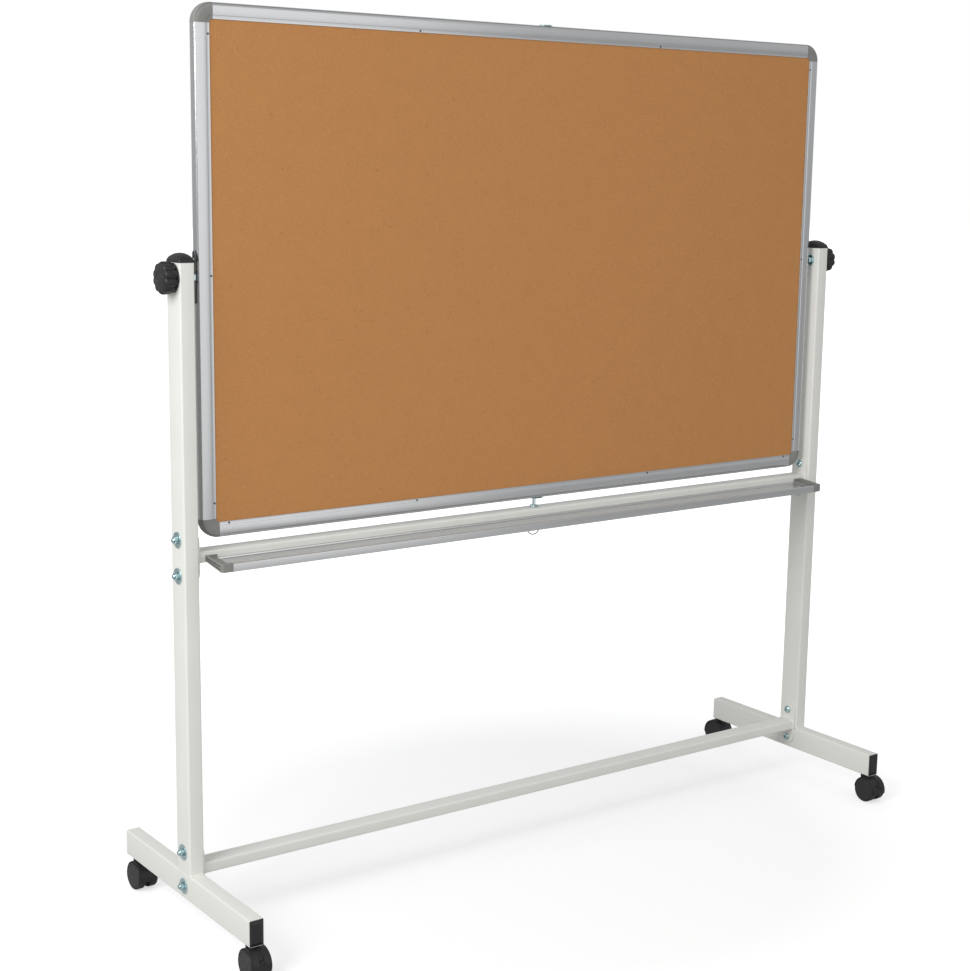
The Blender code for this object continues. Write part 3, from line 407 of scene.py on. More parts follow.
# Feet
# Two more lengths of the same tube laid from front to back. The caster stems come in from below.
stem_hole = 0.0054
for side in ("left", "right"):
    low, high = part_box(f"{side}_foot")
    shape = tube(high.x - low.x, high.z - low.z, tube_round, tube_wall, high.y - low.y)
    shape.transform(turned_at(((low.x + high.x) / 2, low.y, (low.z + high.z) / 2), -90, "X"))
    bolt = middle(f"{side}_lower_crossbar_bolt_bottom").z
    holes = [((low.x - past, 0, bolt), (high.x + past, 0, bolt), bolt_hole)]
    for joint in frame["joints"]:
        if joint["name"] in (f"front_{side}_swivel", f"rear_{side}_swivel"):
            x, y, z = joint["pos_m"]
            holes.append(((x, y, low.z - past), (x, y, low.z + past), stem_hole))
    piece(f"{side}_foot_tube", drilled(shape, holes), paint, "stand", [f"{side}_foot"])

# Foot plugs
# Black moulded plugs: a flange over the tube's end whose face rises like a flat roof, and a block inside.
plug_block = 0.0130
plug_round = 0.0011
# distance in from the outer face, and insets across and up
plug_face = ((0.0026, 0.0009, 0.0009), (0.0024, 0.0012, 0.0012), (0.0023, 0.0020, 0.0020),
             (0.0001, 0.0044, 0.0074), (0.0, 0.0050, 0.0082))
for end, outward in (("front", -1), ("rear", 1)):
    for side in ("left", "right"):
        node = f"{end}_{side}_foot_plug"
        low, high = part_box(node)
        length = high.y - low.y
        levels = [(0.0, 0.0040, 0.0040), (plug_block, 0.0040, 0.0040), (plug_block, 0.0009, 0.0009)]
        levels += [(length - sunk, inset, inset_up) for sunk, inset, inset_up in plug_face]
        rings = []
        for level, inset, inset_up in levels:
            outline = rounded(high.x - low.x - 2 * inset, high.z - low.z - 2 * inset_up, plug_round, 3)
            rings.append(at_level(outline, level))
        shape = loft(bmesh.new(), rings)
        foot_end = low.y if outward > 0 else high.y
        shape.transform(turned_at(((low.x + high.x) / 2, foot_end, (low.z + high.z) / 2), -90 * outward, "X"))
        piece(f"{end}_{side}_plug", shape, black, "stand", [node], 10)

# Crossbars
# Rectangular tubes between the uprights, each welded at both ends to a plate with round ends, and coated
# with them. The upper one has a hole above for the latch's bush and one below for its pin.
plate_thickness = 0.0030
plate_tall = 0.094
plate_deep = 0.044
plate_round = 0.0216
bar_tall = 0.0207
bar_deep = 0.0380
bush_hole = 0.0063
pin_hole = 0.0032
bar_middles = {bar: middle(f"{bar}_crossbar").z for bar in ("upper", "lower")}
for bar, level in bar_middles.items():
    low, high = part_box(f"{bar}_crossbar")
    shape = tube(bar_tall, bar_deep, tube_round, tube_wall, high.x - low.x - 2 * plate_thickness)
    shape.transform(turned_at((low.x + plate_thickness, 0, level), 90))
    if bar == "upper":
        holes = []
        for wall_level, radius in ((level + bar_tall / 2, bush_hole), (level - bar_tall / 2, pin_hole)):
            holes.append(((0, 0, wall_level - 0.004), (0, 0, wall_level + 0.004), radius))
        shape = drilled(shape, holes)
    for start, turn in ((low.x, 1), (high.x, -1)):
        plate = []
        for depth, inset in (
            (0.0, 0.0004), (0.0004, 0.0), (plate_thickness - 0.0005, 0.0), (plate_thickness, 0.0005),
        ):
            outline = rounded(plate_tall - 2 * inset, plate_deep - 2 * inset, plate_round - inset, 12)
            plate.append([(start + turn * depth, y, level + z) for z, y in outline])
        loft(shape, plate)
    piece(f"{bar}_crossbar_tube", shape, paint, "stand", [f"{bar}_crossbar"])

# Weld beads
# Where an upright stands on its foot, in front and behind, and round each crossbar at its plates. A bead
# is a row of overlapping drops, laid by geometry nodes along plain edges and painted over.
def empty_tree(name, **kinds):
    """A geometry node tree, its inputs by name, and the node that gives them."""
    tree = bpy.data.node_groups.new(name, "GeometryNodeTree")
    tree.interface.new_socket("Geometry", in_out="INPUT", socket_type="NodeSocketGeometry")
    inputs = {}
    for key, kind in kinds.items():
        inputs[key] = tree.interface.new_socket(key, in_out="INPUT", socket_type=f"NodeSocket{kind}")
    tree.interface.new_socket("Geometry", in_out="OUTPUT", socket_type="NodeSocketGeometry")
    return tree, inputs, tree.nodes.new("NodeGroupInput")


def grow(tree, kind, settings=None, **links):
    """Adds a geometry node and links or sets its named inputs."""
    made = tree.nodes.new(kind)
    for key, setting in (settings or {}).items():
        setattr(made, key, setting)
    for key, value in links.items():
        socket = next(one for one in made.inputs if one.name.replace(" ", "_") == key and one.enabled)
        if isinstance(value, bpy.types.NodeSocket):
            tree.links.new(value, socket)
        else:
            socket.default_value = value
    return made


def end_tree(tree, given, laid):
    """Makes what a tree has laid real, gives it the material, and puts it out."""
    finish = given.outputs["Material"]
    real = grow(tree, "GeometryNodeRealizeInstances", Geometry=laid.outputs[0])
    coated = grow(tree, "GeometryNodeSetMaterial", Geometry=real.outputs[0], Material=finish)
    tree.links.new(coated.outputs[0], tree.nodes.new("NodeGroupOutput").inputs[0])


weld, weld_inputs, given = empty_tree(
    "weld_bead", Pitch="Float", Radius="Float", Seed="Int", Material="Material"
)
lines = grow(weld, "GeometryNodeMeshToCurve", Mesh=given.outputs["Geometry"])
spots = grow(weld, "GeometryNodeCurveToPoints", {"mode": "LENGTH"}, Curve=lines.outputs[0],
             Length=given.outputs["Pitch"])
drop = grow(weld, "GeometryNodeMeshUVSphere", Segments=12, Rings=7, Radius=given.outputs["Radius"])
jitter = grow(weld, "FunctionNodeRandomValue", {"data_type": "FLOAT"}, Min=0.84, Max=1.12,
              Seed=given.outputs["Seed"])
laid = grow(weld, "GeometryNodeInstanceOnPoints", Points=spots.outputs["Points"],
            Instance=drop.outputs["Mesh"], Scale=jitter.outputs[1])
end_tree(weld, given, laid)


def grown(name, paths, tree, inputs, values, body, angle=40, turns=()):
    """Runs a geometry node tree on paths or points and keeps its result as one plain mesh on a body."""
    shape = bmesh.new()
    for path, closed in paths:
        points = [shape.verts.new(point) for point in path]
        for first, second in zip(points, points[1:] + ([points[0]] if closed else [])):
            shape.edges.new((first, second))
    mesh = bpy.data.meshes.new(name)
    shape.to_mesh(mesh)
    shape.free()
    if turns:
        kept = mesh.attributes.new("turn", "FLOAT_VECTOR", "POINT")
        for number, turn in enumerate(turns):
            kept.data[number].vector = turn
    made = bpy.data.objects.new(name, mesh)
    bpy.context.scene.collection.objects.link(made)
    step = made.modifiers.new("grow", "NODES")
    step.node_group = tree
    for key, value in values.items():
        step[inputs[key].identifier] = value
    bpy.context.view_layer.update()
    plain = bpy.data.meshes.new_from_object(made.evaluated_get(bpy.context.evaluated_depsgraph_get()))
    made.modifiers.clear()
    made.data = plain
    plain.shade_smooth()
    plain.set_sharp_from_angle(angle=math.radians(angle))
    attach(made, body)
    return made


seams = []
for side in ("left", "right"):
    low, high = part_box(f"{side}_upright")
    for y in (low.y, high.y):
        seams.append((((low.x + tube_round, y, low.z), (high.x - tube_round, y, low.z)), False))
for bar, level in bar_middles.items():
    low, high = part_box(f"{bar}_crossbar")
    for x in (low.x + plate_thickness, high.x - plate_thickness):
        loop = [(x, y, level + z) for z, y in rounded(bar_tall, bar_deep, tube_round, 3)]
        seams.append((loop, True))
grown("weld_beads", seams, weld, weld_inputs,
      {"Pitch": 0.0015, "Radius": 0.0024, "Seed": 4, "Material": paint.material}, "stand")

# Crossbar bolts
# Bright zinc-plated socket-head bolts from inside, each with a plain washer and a hexagon nut against the
# outer face of the upright or foot. One bolt is modelled and laid on eight points by geometry nodes.
zinc = Finish("bright_zinc", "zinc_steel", shade(196, 212, 216), 0.2, 1.0)
zinc.mottle(0.006, 3.0, (140, 178, 186), (222, 234, 234), 0.12, 0.14)
zinc.emboss(zinc.noise(0.0012, 2.0), 0.00003)


def ring_at(radius, level, steps=48):
    """Points round local Z at a level. The radius is a number, or a rule that takes the angle."""
    angles = [2 * math.pi * number / steps for number in range(steps)]
    reach = [radius(angle) if callable(radius) else radius for angle in angles]
    return [(r * math.cos(angle), r * math.sin(angle), level) for r, angle in zip(reach, angles)]


def spun(shape, profile, steps=48, joined=False):
    """Skins rings round local Z, given as pairs of radius and level."""
    return loft(shape, [ring_at(radius, level, steps) for radius, level in profile], joined)


def hexagonal(flats, chamfer=1.0):
    """A rule for the radius of a hexagon, cut off where its corners pass the chamfer's radius."""
    return lambda angle: min(flats / 2 / math.cos(angle % (math.pi / 3) - math.pi / 6), chamfer)


def nut(shape, flats, low, high, bore):
    """A hexagon nut with both ends chamfered and a bore through it."""
    corner = flats / 2 / math.cos(math.pi / 6)
    flat_end = flats / 2 - 0.0002
    slope = corner - flat_end
    sides = hexagonal(flats)
    eased = hexagonal(flats, corner - slope / 2)
    profile = [(bore, low), (flat_end, low), (eased, low + slope / 4), (sides, low + slope / 2),
               (sides, high - slope / 2), (eased, high - slope / 4), (flat_end, high), (bore, high)]
    return spun(shape, profile, joined=True)


def thread(shape, radius, low, high, pitch=0.00125):
    """A rod with ridges like a thread's, closed at both ends."""
    profile = [(radius * 0.75, low)]
    level = low + pitch / 2
    while level < high - pitch / 2:
        profile += [(radius, level), (radius * 0.86, level + pitch / 2)]
        level += pitch
    profile.append((radius * 0.75, high))
    return spun(shape, profile)


head_radius = 0.0088
head_height = 0.0050
shank_radius = 0.0038
washer_radius = 0.0145
washer_bore = 0.0043
washer_near = -0.0322  # the washer's two faces, from the head's seat
washer_far = -0.0340
nut_flats = 0.0130
nut_far = -0.0402
bolt_tip = -0.0437
socket = hexagonal(0.0050)
bolt_profile = [(shank_radius, -0.033), (shank_radius, 0.0), (head_radius - 0.0004, 0.0)]
for number in range(7):
    slant = math.pi / 2 * number / 9
    bolt_profile.append((head_radius * math.cos(slant), head_height * math.sin(slant) + 0.0002))
bolt_profile += [(lambda angle: socket(angle) + 0.0002, 0.0050), (socket, 0.0048), (socket, 0.0024)]
bolt_shape = spun(bmesh.new(), bolt_profile)
spun(bolt_shape, (
    (washer_bore, washer_far), (washer_radius - 0.0002, washer_far), (washer_radius, washer_far + 0.0002),
    (washer_radius, washer_near - 0.0002), (washer_radius - 0.0002, washer_near), (washer_bore, washer_near),
), joined=True)
nut(bolt_shape, nut_flats, nut_far, washer_far, 0.0036)
thread(bolt_shape, 0.0039, bolt_tip, -0.0335)
bolt_master = loose("bolt_master", bolt_shape)

fasteners, fastener_inputs, given = empty_tree("fasteners", Master="Object", Seed="Int", Material="Material")
master = grow(fasteners, "GeometryNodeObjectInfo", Object=given.outputs["Master"])
kept_turn = grow(fasteners, "GeometryNodeInputNamedAttribute", {"data_type": "FLOAT_VECTOR"}, Name="turn")
spots = grow(fasteners, "GeometryNodeMeshToPoints", Mesh=given.outputs["Geometry"])
laid = grow(fasteners, "GeometryNodeInstanceOnPoints", Points=spots.outputs[0],
            Instance=master.outputs["Geometry"], Rotation=kept_turn.outputs[0])
spin = grow(fasteners, "FunctionNodeRandomValue", {"data_type": "FLOAT"}, Min=0.0, Max=2 * math.pi,
            Seed=given.outputs["Seed"])
about_z = grow(fasteners, "ShaderNodeCombineXYZ", Z=spin.outputs[1])
turned = grow(fasteners, "GeometryNodeRotateInstances", Instances=laid.outputs[0],
              Rotation=about_z.outputs[0])
end_tree(fasteners, given, turned)

places = []
turns = []
bolt_nodes = []
for side, sign in (("left", -1), ("right", 1)):
    for bolt in bolt_names:
        low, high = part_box(f"{side}_{bolt}")
        seat = high.x - head_height if sign < 0 else low.x + head_height
        places.append(([(seat, 0, (low.z + high.z) / 2)], False))
        turns.append((0, -sign * math.pi / 2, 0))
        bolt_nodes.append(f"{side}_{bolt}")
bolt_set = grown("crossbar_bolts", places, fasteners, fastener_inputs,
                 {"Master": bolt_master, "Seed": 7, "Material": zinc.material},
                 "stand", 30, turns)
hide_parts(*bolt_nodes)
bpy.data.objects.remove(bolt_master)

# Casters
# Black nylon bodies: a hood over a web between two wheels, a neck with a stem that is pushed into the foot,
# and an axle. The front ones have a slot for the brake.
joint_places = {joint["name"]: Vector(joint["pos_m"]) for joint in frame["joints"]}
caster_names = [f"{end}_{side}" for end in ("front", "rear") for side in ("left", "right")]
axle_y = 0.0150
axle_z = 0.0260
axle_radius = 0.0030
hood_radius = 0.0290
hood_inside = 0.0272
hood_start = -12
hood_end = 178
web_radius = 0.0280
boss_radius = 0.0085
neck_radius = 0.0095
stem_radius = 0.0050
stem_top = 0.0917


def caster_frame(name):
    """Where a caster stands: its swivel on the floor, turned so that its wheels lie behind it."""
    swivel = joint_places[f"{name}_swivel"]
    wheels = joint_places[f"{name}_inner_wheel_roll"]
    yaw = math.atan2(-(wheels.x - swivel.x), wheels.y - swivel.y)
    return Matrix.Translation((swivel.x, swivel.y, 0)) @ Matrix.Rotation(yaw, 4, "Z")


def bow(centre, radius, start, end, steps):
    """Points on an arc, with its angles in degrees."""
    turns = [math.radians(start + (end - start) * number / steps) for number in range(steps + 1)]
    return [(centre[0] + radius * math.cos(turn), centre[1] + radius * math.sin(turn)) for turn in turns]


def about_axle(radius, start, end, steps):
    return bow((axle_y, axle_z), radius, start, end, steps)


def box_shape(shape, low, high, edge=0.0):
    """Adds a box between two corners, with its edges rounded."""
    low = Vector(low)
    high = Vector(high)
    size = high - low
    place = Matrix.Translation((low + high) / 2) @ Matrix.Diagonal((size.x, size.y, size.z, 1))
    made = bmesh.ops.create_cube(shape, size=1, matrix=place)
    if edge:
        edges = list({one for vertex in made["verts"] for one in vertex.link_edges})
        bmesh.ops.bevel(shape, geom=edges, offset=edge, segments=3, profile=0.5, affect="EDGES")
    return shape


def slab(shape, outline, stations):
    """Lofts an outline in the Y and Z plane across X. Each station has a place and an inset."""
    return loft(shape, [[(x, y, z) for y, z in outline(inset)] for x, inset in stations])


def added(shape, other):
    """Puts another shape with the first. The other is used up."""
    mesh = bpy.data.meshes.new("added")
    other.to_mesh(mesh)
    other.free()
    shape.from_mesh(mesh)
    return shape


def hood_outline(inset):
    skew = math.degrees(inset / hood_radius)
    outside = about_axle(hood_radius - inset, hood_start + skew, hood_end - skew, 40)
    inside = about_axle(hood_inside + inset / 3, hood_start + skew, hood_end - skew, 40)
    return outside + list(reversed(inside))


def web_outline(inset):
    outside = about_axle(web_radius - inset, hood_start + 4, hood_end - 4, 24)
    return outside + about_axle(boss_radius - inset, 202, 318, 8)


for name in caster_names:
    hood = slab(bmesh.new(), hood_outline, (
        (-0.018, 0.0006), (-0.0176, 0.0001), (-0.0168, 0.0),
        (0.0168, 0.0), (0.0176, 0.0001), (0.018, 0.0006),
    ))
    if name.startswith("front"):
        hood = carved(hood, [
            box_shape(bmesh.new(), (-0.0023, 0.0250, 0.0315), (0.0023, 0.0460, 0.0600)),
            box_shape(bmesh.new(), (-0.0046, 0.0330, 0.0315), (0.0046, 0.0460, 0.0470)),
        ])
    slab(hood, web_outline, ((-0.0045, 0.0004), (-0.0041, 0.0), (0.0041, 0.0), (0.0045, 0.0004)))
    neck = spun(bmesh.new(), (
        (neck_radius, 0.030), (neck_radius, 0.0560), (0.0102, 0.0563), (0.0102, 0.0572), (0.0098, 0.0576),
        (stem_radius, 0.0577), (stem_radius, stem_top - 0.0012), (stem_radius - 0.0008, stem_top),
    ))
    wheel_room = ((-0.030, axle_y, axle_z), (0.030, axle_y, axle_z), hood_inside, 72)
    added(hood, drilled(neck, [wheel_room]))
    rod(hood, (-0.0170, axle_y, axle_z), (0.0170, axle_y, axle_z), axle_radius)
    hood.transform(caster_frame(name))
    piece(f"{name}_hood", hood, black, f"{name}_caster", [f"{name}_caster_body"])

# Brake levers
# Small nylon levers in the front casters' slots: a hub on a pin, a rib, and a pedal for the toe.
hub_radius = 0.0040
rib_length = 0.0130
pedal_start = 0.0090
pedal_end = 0.0169
pedal_half = 0.0043
for side in ("left", "right"):
    name = f"front_{side}"
    place = caster_frame(name)
    hub = place.inverted() @ joint_places[f"{name}_brake"]
    tip = hub.y + rib_length
    under = hub.z - hub_radius

    def lever_outline(inset):
        around = bow((hub.y, hub.z), hub_radius - inset, 40, 320, 16)
        return around + [(tip, under + inset), (tip, hub.z - 0.0012 - inset)]

    stations = ((-0.0020, 0.0004), (-0.0016, 0.0), (0.0016, 0.0), (0.0020, 0.0004))
    lever = slab(bmesh.new(), lever_outline, stations)
    pedal_low = (-pedal_half, hub.y + pedal_start, under)
    pedal_high = (pedal_half, hub.y + pedal_end, hub.z - 0.0010)
    box_shape(lever, pedal_low, pedal_high, 0.0007)
    for number in range(3):
        y = hub.y + 0.0110 + 0.0018 * number
        box_shape(lever, (-0.0034, y, hub.z - 0.0014), (0.0034, y + 0.0007, hub.z - 0.0007), 0.0002)
    lever.transform(place)
    piece(f"{name}_brake_pedal", lever, black, f"{name}_brake", [f"{name}_brake_lever"])

# Caster wheels
# Hard black wheels in pairs, flat discs with a raised rim line, a small hub and a rounded tread.
wheel_black = Finish("wheel_nylon", "caster_wheel_plastic", shade(52, 52, 52), 0.4)
wheel_black.mottle(0.008, 3.0, (38, 38, 38), (48, 48, 47), 0.32, 0.20)
wheel_black.feed("Specular IOR Level", 0.35)
wheel_black.emboss(wheel_black.noise(0.0006, 2.0), 0.00003)
wheel_start = 0.0048  # from the caster's middle to the wheel's inner face
# radius, and distance out from the inner face
wheel_profile = (
    (0.0033, 0.0128), (0.0033, 0.0), (0.0238, 0.0), (0.0250, 0.0004), (0.0258, 0.0012), (0.0260, 0.0022),
    (0.0260, 0.0134), (0.0258, 0.0143), (0.0252, 0.0151), (0.0242, 0.0155), (0.0234, 0.0155),
    (0.0231, 0.0149), (0.0222, 0.0149), (0.0219, 0.0154), (0.0078, 0.0154), (0.0076, 0.0150),
    (0.0071, 0.0150), (0.0069, 0.0154), (0.0060, 0.0155), (0.0010, 0.0155),
)
for name in caster_names:
    place = caster_frame(name)
    for half in ("inner", "outer"):
        node = f"{name}_{half}_wheel"
        toward = 1 if (place.inverted() @ middle(node)).x > 0 else -1
        wheel = spun(bmesh.new(), wheel_profile, 72)
        wheel.transform(place @ turned_at((toward * wheel_start, axle_y, axle_z), 90 * toward))
        piece(f"{name}_{half}_disc", wheel, wheel_black, node, [node], 28)

# Board rails
# Four lengths of one satin anodised extrusion: a half-round outer side with a fine groove on each quarter,
# a flat face, and a lower lip that holds the panels. Fine die lines run along each length.
rail_face = 0.0285
board_depth = 0.0240
lip_width = 0.0060
lip_drop = 0.0006
rail_round = 0.0110
rail_fullness = 0.70  # 1 is a circle, less is squarer
groove_depth = 0.0016
panel_room = 0.0103
channel = 0.0130  # how far in the panels' channel begins
strike_hole = 0.0050


def anodised(name, long_axis):
    """Satin aluminium with die lines and a few long faint streaks along one axis."""
    made = Finish(name, "board_aluminium", shade(206, 208, 211), 0.24, 1.0)
    fine = [1.0, 1.0, 1.0]
    fine[long_axis] = 0.004
    lines = made.noise(0.0006, 3.0, fine)
    streak = made.noise(0.006, 2.0, fine)
    cloudy = made.noise(0.05, 2.0)
    made.feed("Base Color", made.blend(streak, shade(204, 205, 206), shade(214, 215, 216)))
    made.feed("Roughness", 0.16 + 0.07 * lines + 0.06 * cloudy)
    made.emboss(lines, 0.000012)
    return made


aluminium_along_x = anodised("anodised_aluminium_across", 0)
aluminium_along_z = anodised("anodised_aluminium_upright", 2)


def rail_outline():
    """Section of the edge: distance in from the outer side, and depth either side of the middle."""
    half = board_depth / 2
    lip = half - lip_drop
    front = [(rail_face, lip - 0.0011), (rail_face, lip - 0.0003), (rail_face - 0.0003, lip)]
    front += [(rail_face - lip_width, lip), (rail_face - lip_width - 0.0003, lip + 0.0001)]
    front += [(rail_face - lip_width - 0.0007, half - 0.0001), (rail_face - lip_width - 0.0011, half)]
    for start, end, depth, steps in (
        (90, 132, 0.0, 12), (132.4, 137.6, groove_depth, 1), (138, 180, 0.0, 12),
    ):
        reach = rail_round - depth
        for across, up in bow((0, 0), 1.0, start, end, steps):
            front.append((rail_round - reach * abs(across) ** rail_fullness,
                          half - rail_round + reach * up ** rail_fullness))
    back = [(inward, -depth) for inward, depth in reversed(front)]
    return front + back + [(channel, -panel_room), (channel, panel_room)]


section = rail_outline()
for side in ("left", "right", "bottom", "top"):
    low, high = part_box(f"{side}_rail")
    upright = side in ("left", "right")
    corner, turn = (low, 1) if side in ("left", "bottom") else (high, -1)
    outer = corner.x if upright else corner.z
    rings = []
    for end in ((low.z, high.z) if upright else (low.x, high.x)):
        if upright:
            rings.append([(outer + turn * inward, depth, end) for inward, depth in section])
        else:
            rings.append([(end, depth, outer + turn * inward) for inward, depth in section])
    shape = loft(bmesh.new(), rings)
    if not upright:
        shape = drilled(shape, [((0, 0, outer - turn * 0.005), (0, 0, outer + turn * 0.0115), strike_hole)])
    anodising = aluminium_along_z if upright else aluminium_along_x
    piece(f"{side}_edge_rail", shape, anodising, "board", [f"{side}_rail"])

# Board corners
# Grey moulded quarters that carry the same section round from rail to rail.
grey = Finish("grey_moulding", "grey_plastic", shade(134, 134, 129), 0.48)
grey.mottle(0.02, 3.0, (124, 124, 121), (136, 136, 132), 0.42, 0.12)
grey.emboss(grey.noise(0.0006, 2.0), 0.00003)

board_low = Vector((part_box("left_rail")[0].x, 0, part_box("bottom_rail")[0].z))
board_high = Vector((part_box("right_rail")[1].x, 0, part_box("top_rail")[1].z))
corner_radius = 0.0345
corner_steps = 20
for name, x_side, z_side in (
    ("lower_left", -1, -1), ("lower_right", 1, -1), ("upper_right", 1, 1), ("upper_left", -1, 1),
):
    x = board_low.x if x_side < 0 else board_high.x
    z = board_low.z if z_side < 0 else board_high.z
    rings = []
    for number in range(corner_steps + 1):
        turn = math.pi / 2 * number / corner_steps
        ring = []
        for inward, depth in section:
            reach = corner_radius - inward
            ring.append((x - x_side * (corner_radius - reach * math.cos(turn)), depth,
                         z - z_side * (corner_radius - reach * math.sin(turn))))
        rings.append(ring)
    piece(f"{name}_corner_moulding", loft(bmesh.new(), rings), grey, "board", [f"{name}_corner"])

# Panels
# Granulated cork on the front, a brown fibre core, and a gloss enamelled steel sheet on the back. Their
# CAD shapes are right and stay.
cork = Finish("cork", "cork", shade(190, 134, 82), 0.85)
granule = cork.cells(0.0026, "Color")
blotch = cork.noise(0.035, 3.0)
fleck = cork.cells(0.0036, "Color") > 0.94
seam = cork.cells(0.0026, "Distance", "DISTANCE_TO_EDGE")
gap_line = cork.spread(seam, 0.0, 0.10)
base = cork.blend(granule, shade(186, 128, 73), shade(198, 140, 83))
base = cork.blend(cork.spread(blotch, 0.35, 0.65, 0.0, 0.35), base, shade(198, 139, 81))
base = cork.blend(fleck * 0.22, base, shade(120, 74, 42))
base = cork.blend((1 - gap_line) * 0.25, base, shade(140, 92, 54))
cork.feed("Base Color", base)
cork.feed("Roughness", 0.80 + 0.12 * blotch)
cork.emboss(gap_line, 0.00012)
cork.emboss(cork.noise(0.0007, 2.0), 0.00008)

core = Finish("fibre_core", "core_board", shade(150, 122, 92), 0.9)
fibre = core.noise(0.002, 4.0, (0.2, 1, 1))
core.feed("Base Color", core.blend(fibre, shade(135, 108, 80), shade(165, 138, 108)))
core.emboss(fibre, 0.0001)

enamel = Finish("gloss_enamel", "dry_wipe_steel", shade(243, 244, 245), 0.12)
enamel.feed("Coat Weight", 0.4)
wiped = enamel.noise(0.07, 4.0, (0.35, 1, 1))
smear = enamel.spread(wiped, 0.45, 0.75)
enamel.feed("Base Color", enamel.blend(smear, shade(244, 245, 246), shade(238, 239, 241)))
enamel.feed("Roughness", 0.08 + 0.12 * wiped)
enamel.emboss(enamel.noise(0.004, 1.0), 0.000015)

for node, finish in (("cork_sheet", cork), ("board_core", core), ("whiteboard_sheet", enamel)):
    for material_slot in frame["nodes"][node].material_slots:
        material_slot.material = finish.material

# Frame screws
# Small dark pan-head screws with a cross recess through the front lips, near the corners and between them.
def cross(reach, half_width, low, high):
    """Two cutters for a cross recess round local Z."""
    return [box_shape(bmesh.new(), (-across, -deep, low), (across, deep, high))
            for across, deep in ((reach, half_width), (half_width, reach))]


screw_shape = spun(bmesh.new(), (
    (0.0009, -0.0040), (0.0010, 0.0), (0.0020, 0.0), (0.0020, 0.0003), (0.0016, 0.0006), (0.0006, 0.0007),
), 20)
screw_master = loose("screw_master", carved(screw_shape, cross(0.0011, 0.0002, 0.0003, 0.0012)))
# Dark steel for the frame screws, the pull ring and the pivot straps; on the straps its darkness is partly a
# painted dark reflection.
dark_steel = Finish("blackened_steel", "zinc_steel", shade(96, 96, 98), 0.35, 1.0)
dark_steel.mottle(0.004, 2.0, (82, 82, 84), (112, 112, 114), 0.28, 0.2)
dark_steel.emboss(dark_steel.noise(0.0008, 2.0), 0.00002)
board_middle = (board_low + board_high) / 2
lip_face = -(board_depth / 2 - lip_drop)
screw_x = board_high.x - rail_face + lip_width / 2
screw_z = board_high.z - board_middle.z - rail_face + lip_width / 2
near_middle = 0.290
near_corner = 0.691
places = [(x, z) for x in (-screw_x, screw_x) for z in (-0.398, 0.002, 0.408)]
places += [(x, -screw_z) for x in (-near_corner, -near_middle, near_middle, near_corner)]
places += [(x, screw_z) for x in (-near_middle, near_middle)]
points = [([(x, lip_face, board_middle.z + z)], False) for x, z in places]
grown("frame_screws", points, fasteners, fastener_inputs,
      {"Master": screw_master, "Seed": 3, "Material": dark_steel.material}, "board", 30,
      [(math.pi / 2, 0, 0)] * len(points))
bpy.data.objects.remove(screw_master)

# Strike plates
# Zinc-plated plates that the latch pin enters, on the middle of the lower and the upper rail, each with a
# hole for the pin and one screw.
strike_round = 0.0024
strike_screw_inset = 0.0046
for edge, outward in (("lower", -1), ("upper", 1)):
    low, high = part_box(f"{edge}_strike")
    face = low.z if outward > 0 else high.z
    levels = ((0.0, 0.0002), (0.0002, 0.0), (0.0011, 0.0), (0.0014, 0.0003))
    plate = stack(high.x - low.x, high.y - low.y, strike_round, levels, 5)
    plate.transform(Matrix.Translation(((low.x + high.x) / 2, 0, 0)))
    plate = drilled(plate, [((0, 0, -0.001), (0, 0, 0.003), strike_hole, 48)])
    head = spun(bmesh.new(), (
        (0.0020, 0.0010), (0.0032, 0.0013), (0.0032, 0.0018), (0.0026, 0.0024), (0.0010, 0.0026),
    ), 24)
    head = carved(head, cross(0.0020, 0.0003, 0.0019, 0.0030))
    head.transform(Matrix.Translation((high.x - strike_screw_inset, 0, 0)))
    added(plate, head)
    flip = Matrix.Diagonal((1, outward, outward, 1))
    plate.transform(Matrix.Translation((0, 0, face)) @ flip)
    piece(f"{edge}_strike_plate", plate, zinc, "board", [f"{edge}_strike"])

# Pivot straps and studs
# A narrow steel strap screwed on each side rail, with the stud through its middle and a nut that locks it.
# Its dark finish is partly the strap's own dark colour and partly a painted dark reflection of the
# surroundings it mirrors.
# The stud's cone sits inside the rail, and its thread goes out through the upright into the knob.
strap_width = 0.0110
strap_round = 0.0052
strap_top = 0.0023  # outer face, from the board's side
strap_hole = 0.0021
strap_hole_place = 0.0405
strap_screw_place = 0.0300
stud_radius = 0.0039
stud_head_radius = 0.0065
stud_head_depth = 0.0085
for side, sign in (("left", -1), ("right", 1)):
    low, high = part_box(f"{side}_pivot_plate")
    board_side = board_low.x if sign < 0 else board_high.x
    outward = turned_at((board_side, 0, (low.z + high.z) / 2), 90 * sign)
    levels = ((0.0003, 0.0003), (0.0006, 0.0), (0.0020, 0.0), (strap_top, 0.0003))
    holes = [((x, 0, -0.002), (x, 0, 0.004), strap_hole) for x in (-strap_hole_place, strap_hole_place)]
    strap = drilled(stack(high.z - low.z, strap_width, strap_round, levels, 8), holes)
    strap.transform(outward)
    # The strap's dark finish is partly a painted dark reflection of its surroundings.
    piece(f"{side}_strap", strap, dark_steel, "board")
    stud = spun(bmesh.new(), (
        (stud_head_radius - 0.0007, -stud_head_depth), (stud_head_radius, -0.0078),
        (stud_head_radius, -0.0045), (0.0040, -0.0027), (stud_radius, 0.0100),
    ))
    thread(stud, stud_radius, 0.0095, high.x - low.x - stud_head_depth)
    nut(stud, 0.0170, strap_top, 0.0097, 0.0036)
    for x in (-strap_screw_place, strap_screw_place):
        screw = spun(bmesh.new(), (
            (0.0018, 0.0015), (0.0030, 0.0023), (0.0030, 0.0028), (0.0022, 0.0035), (0.0008, 0.0037),
        ), 24)
        screw.transform(Matrix.Translation((x, 0, 0)))
        added(stud, screw)
    stud.transform(outward)
    piece(f"{side}_stud", stud, zinc, "board", [f"{side}_pivot_plate"])

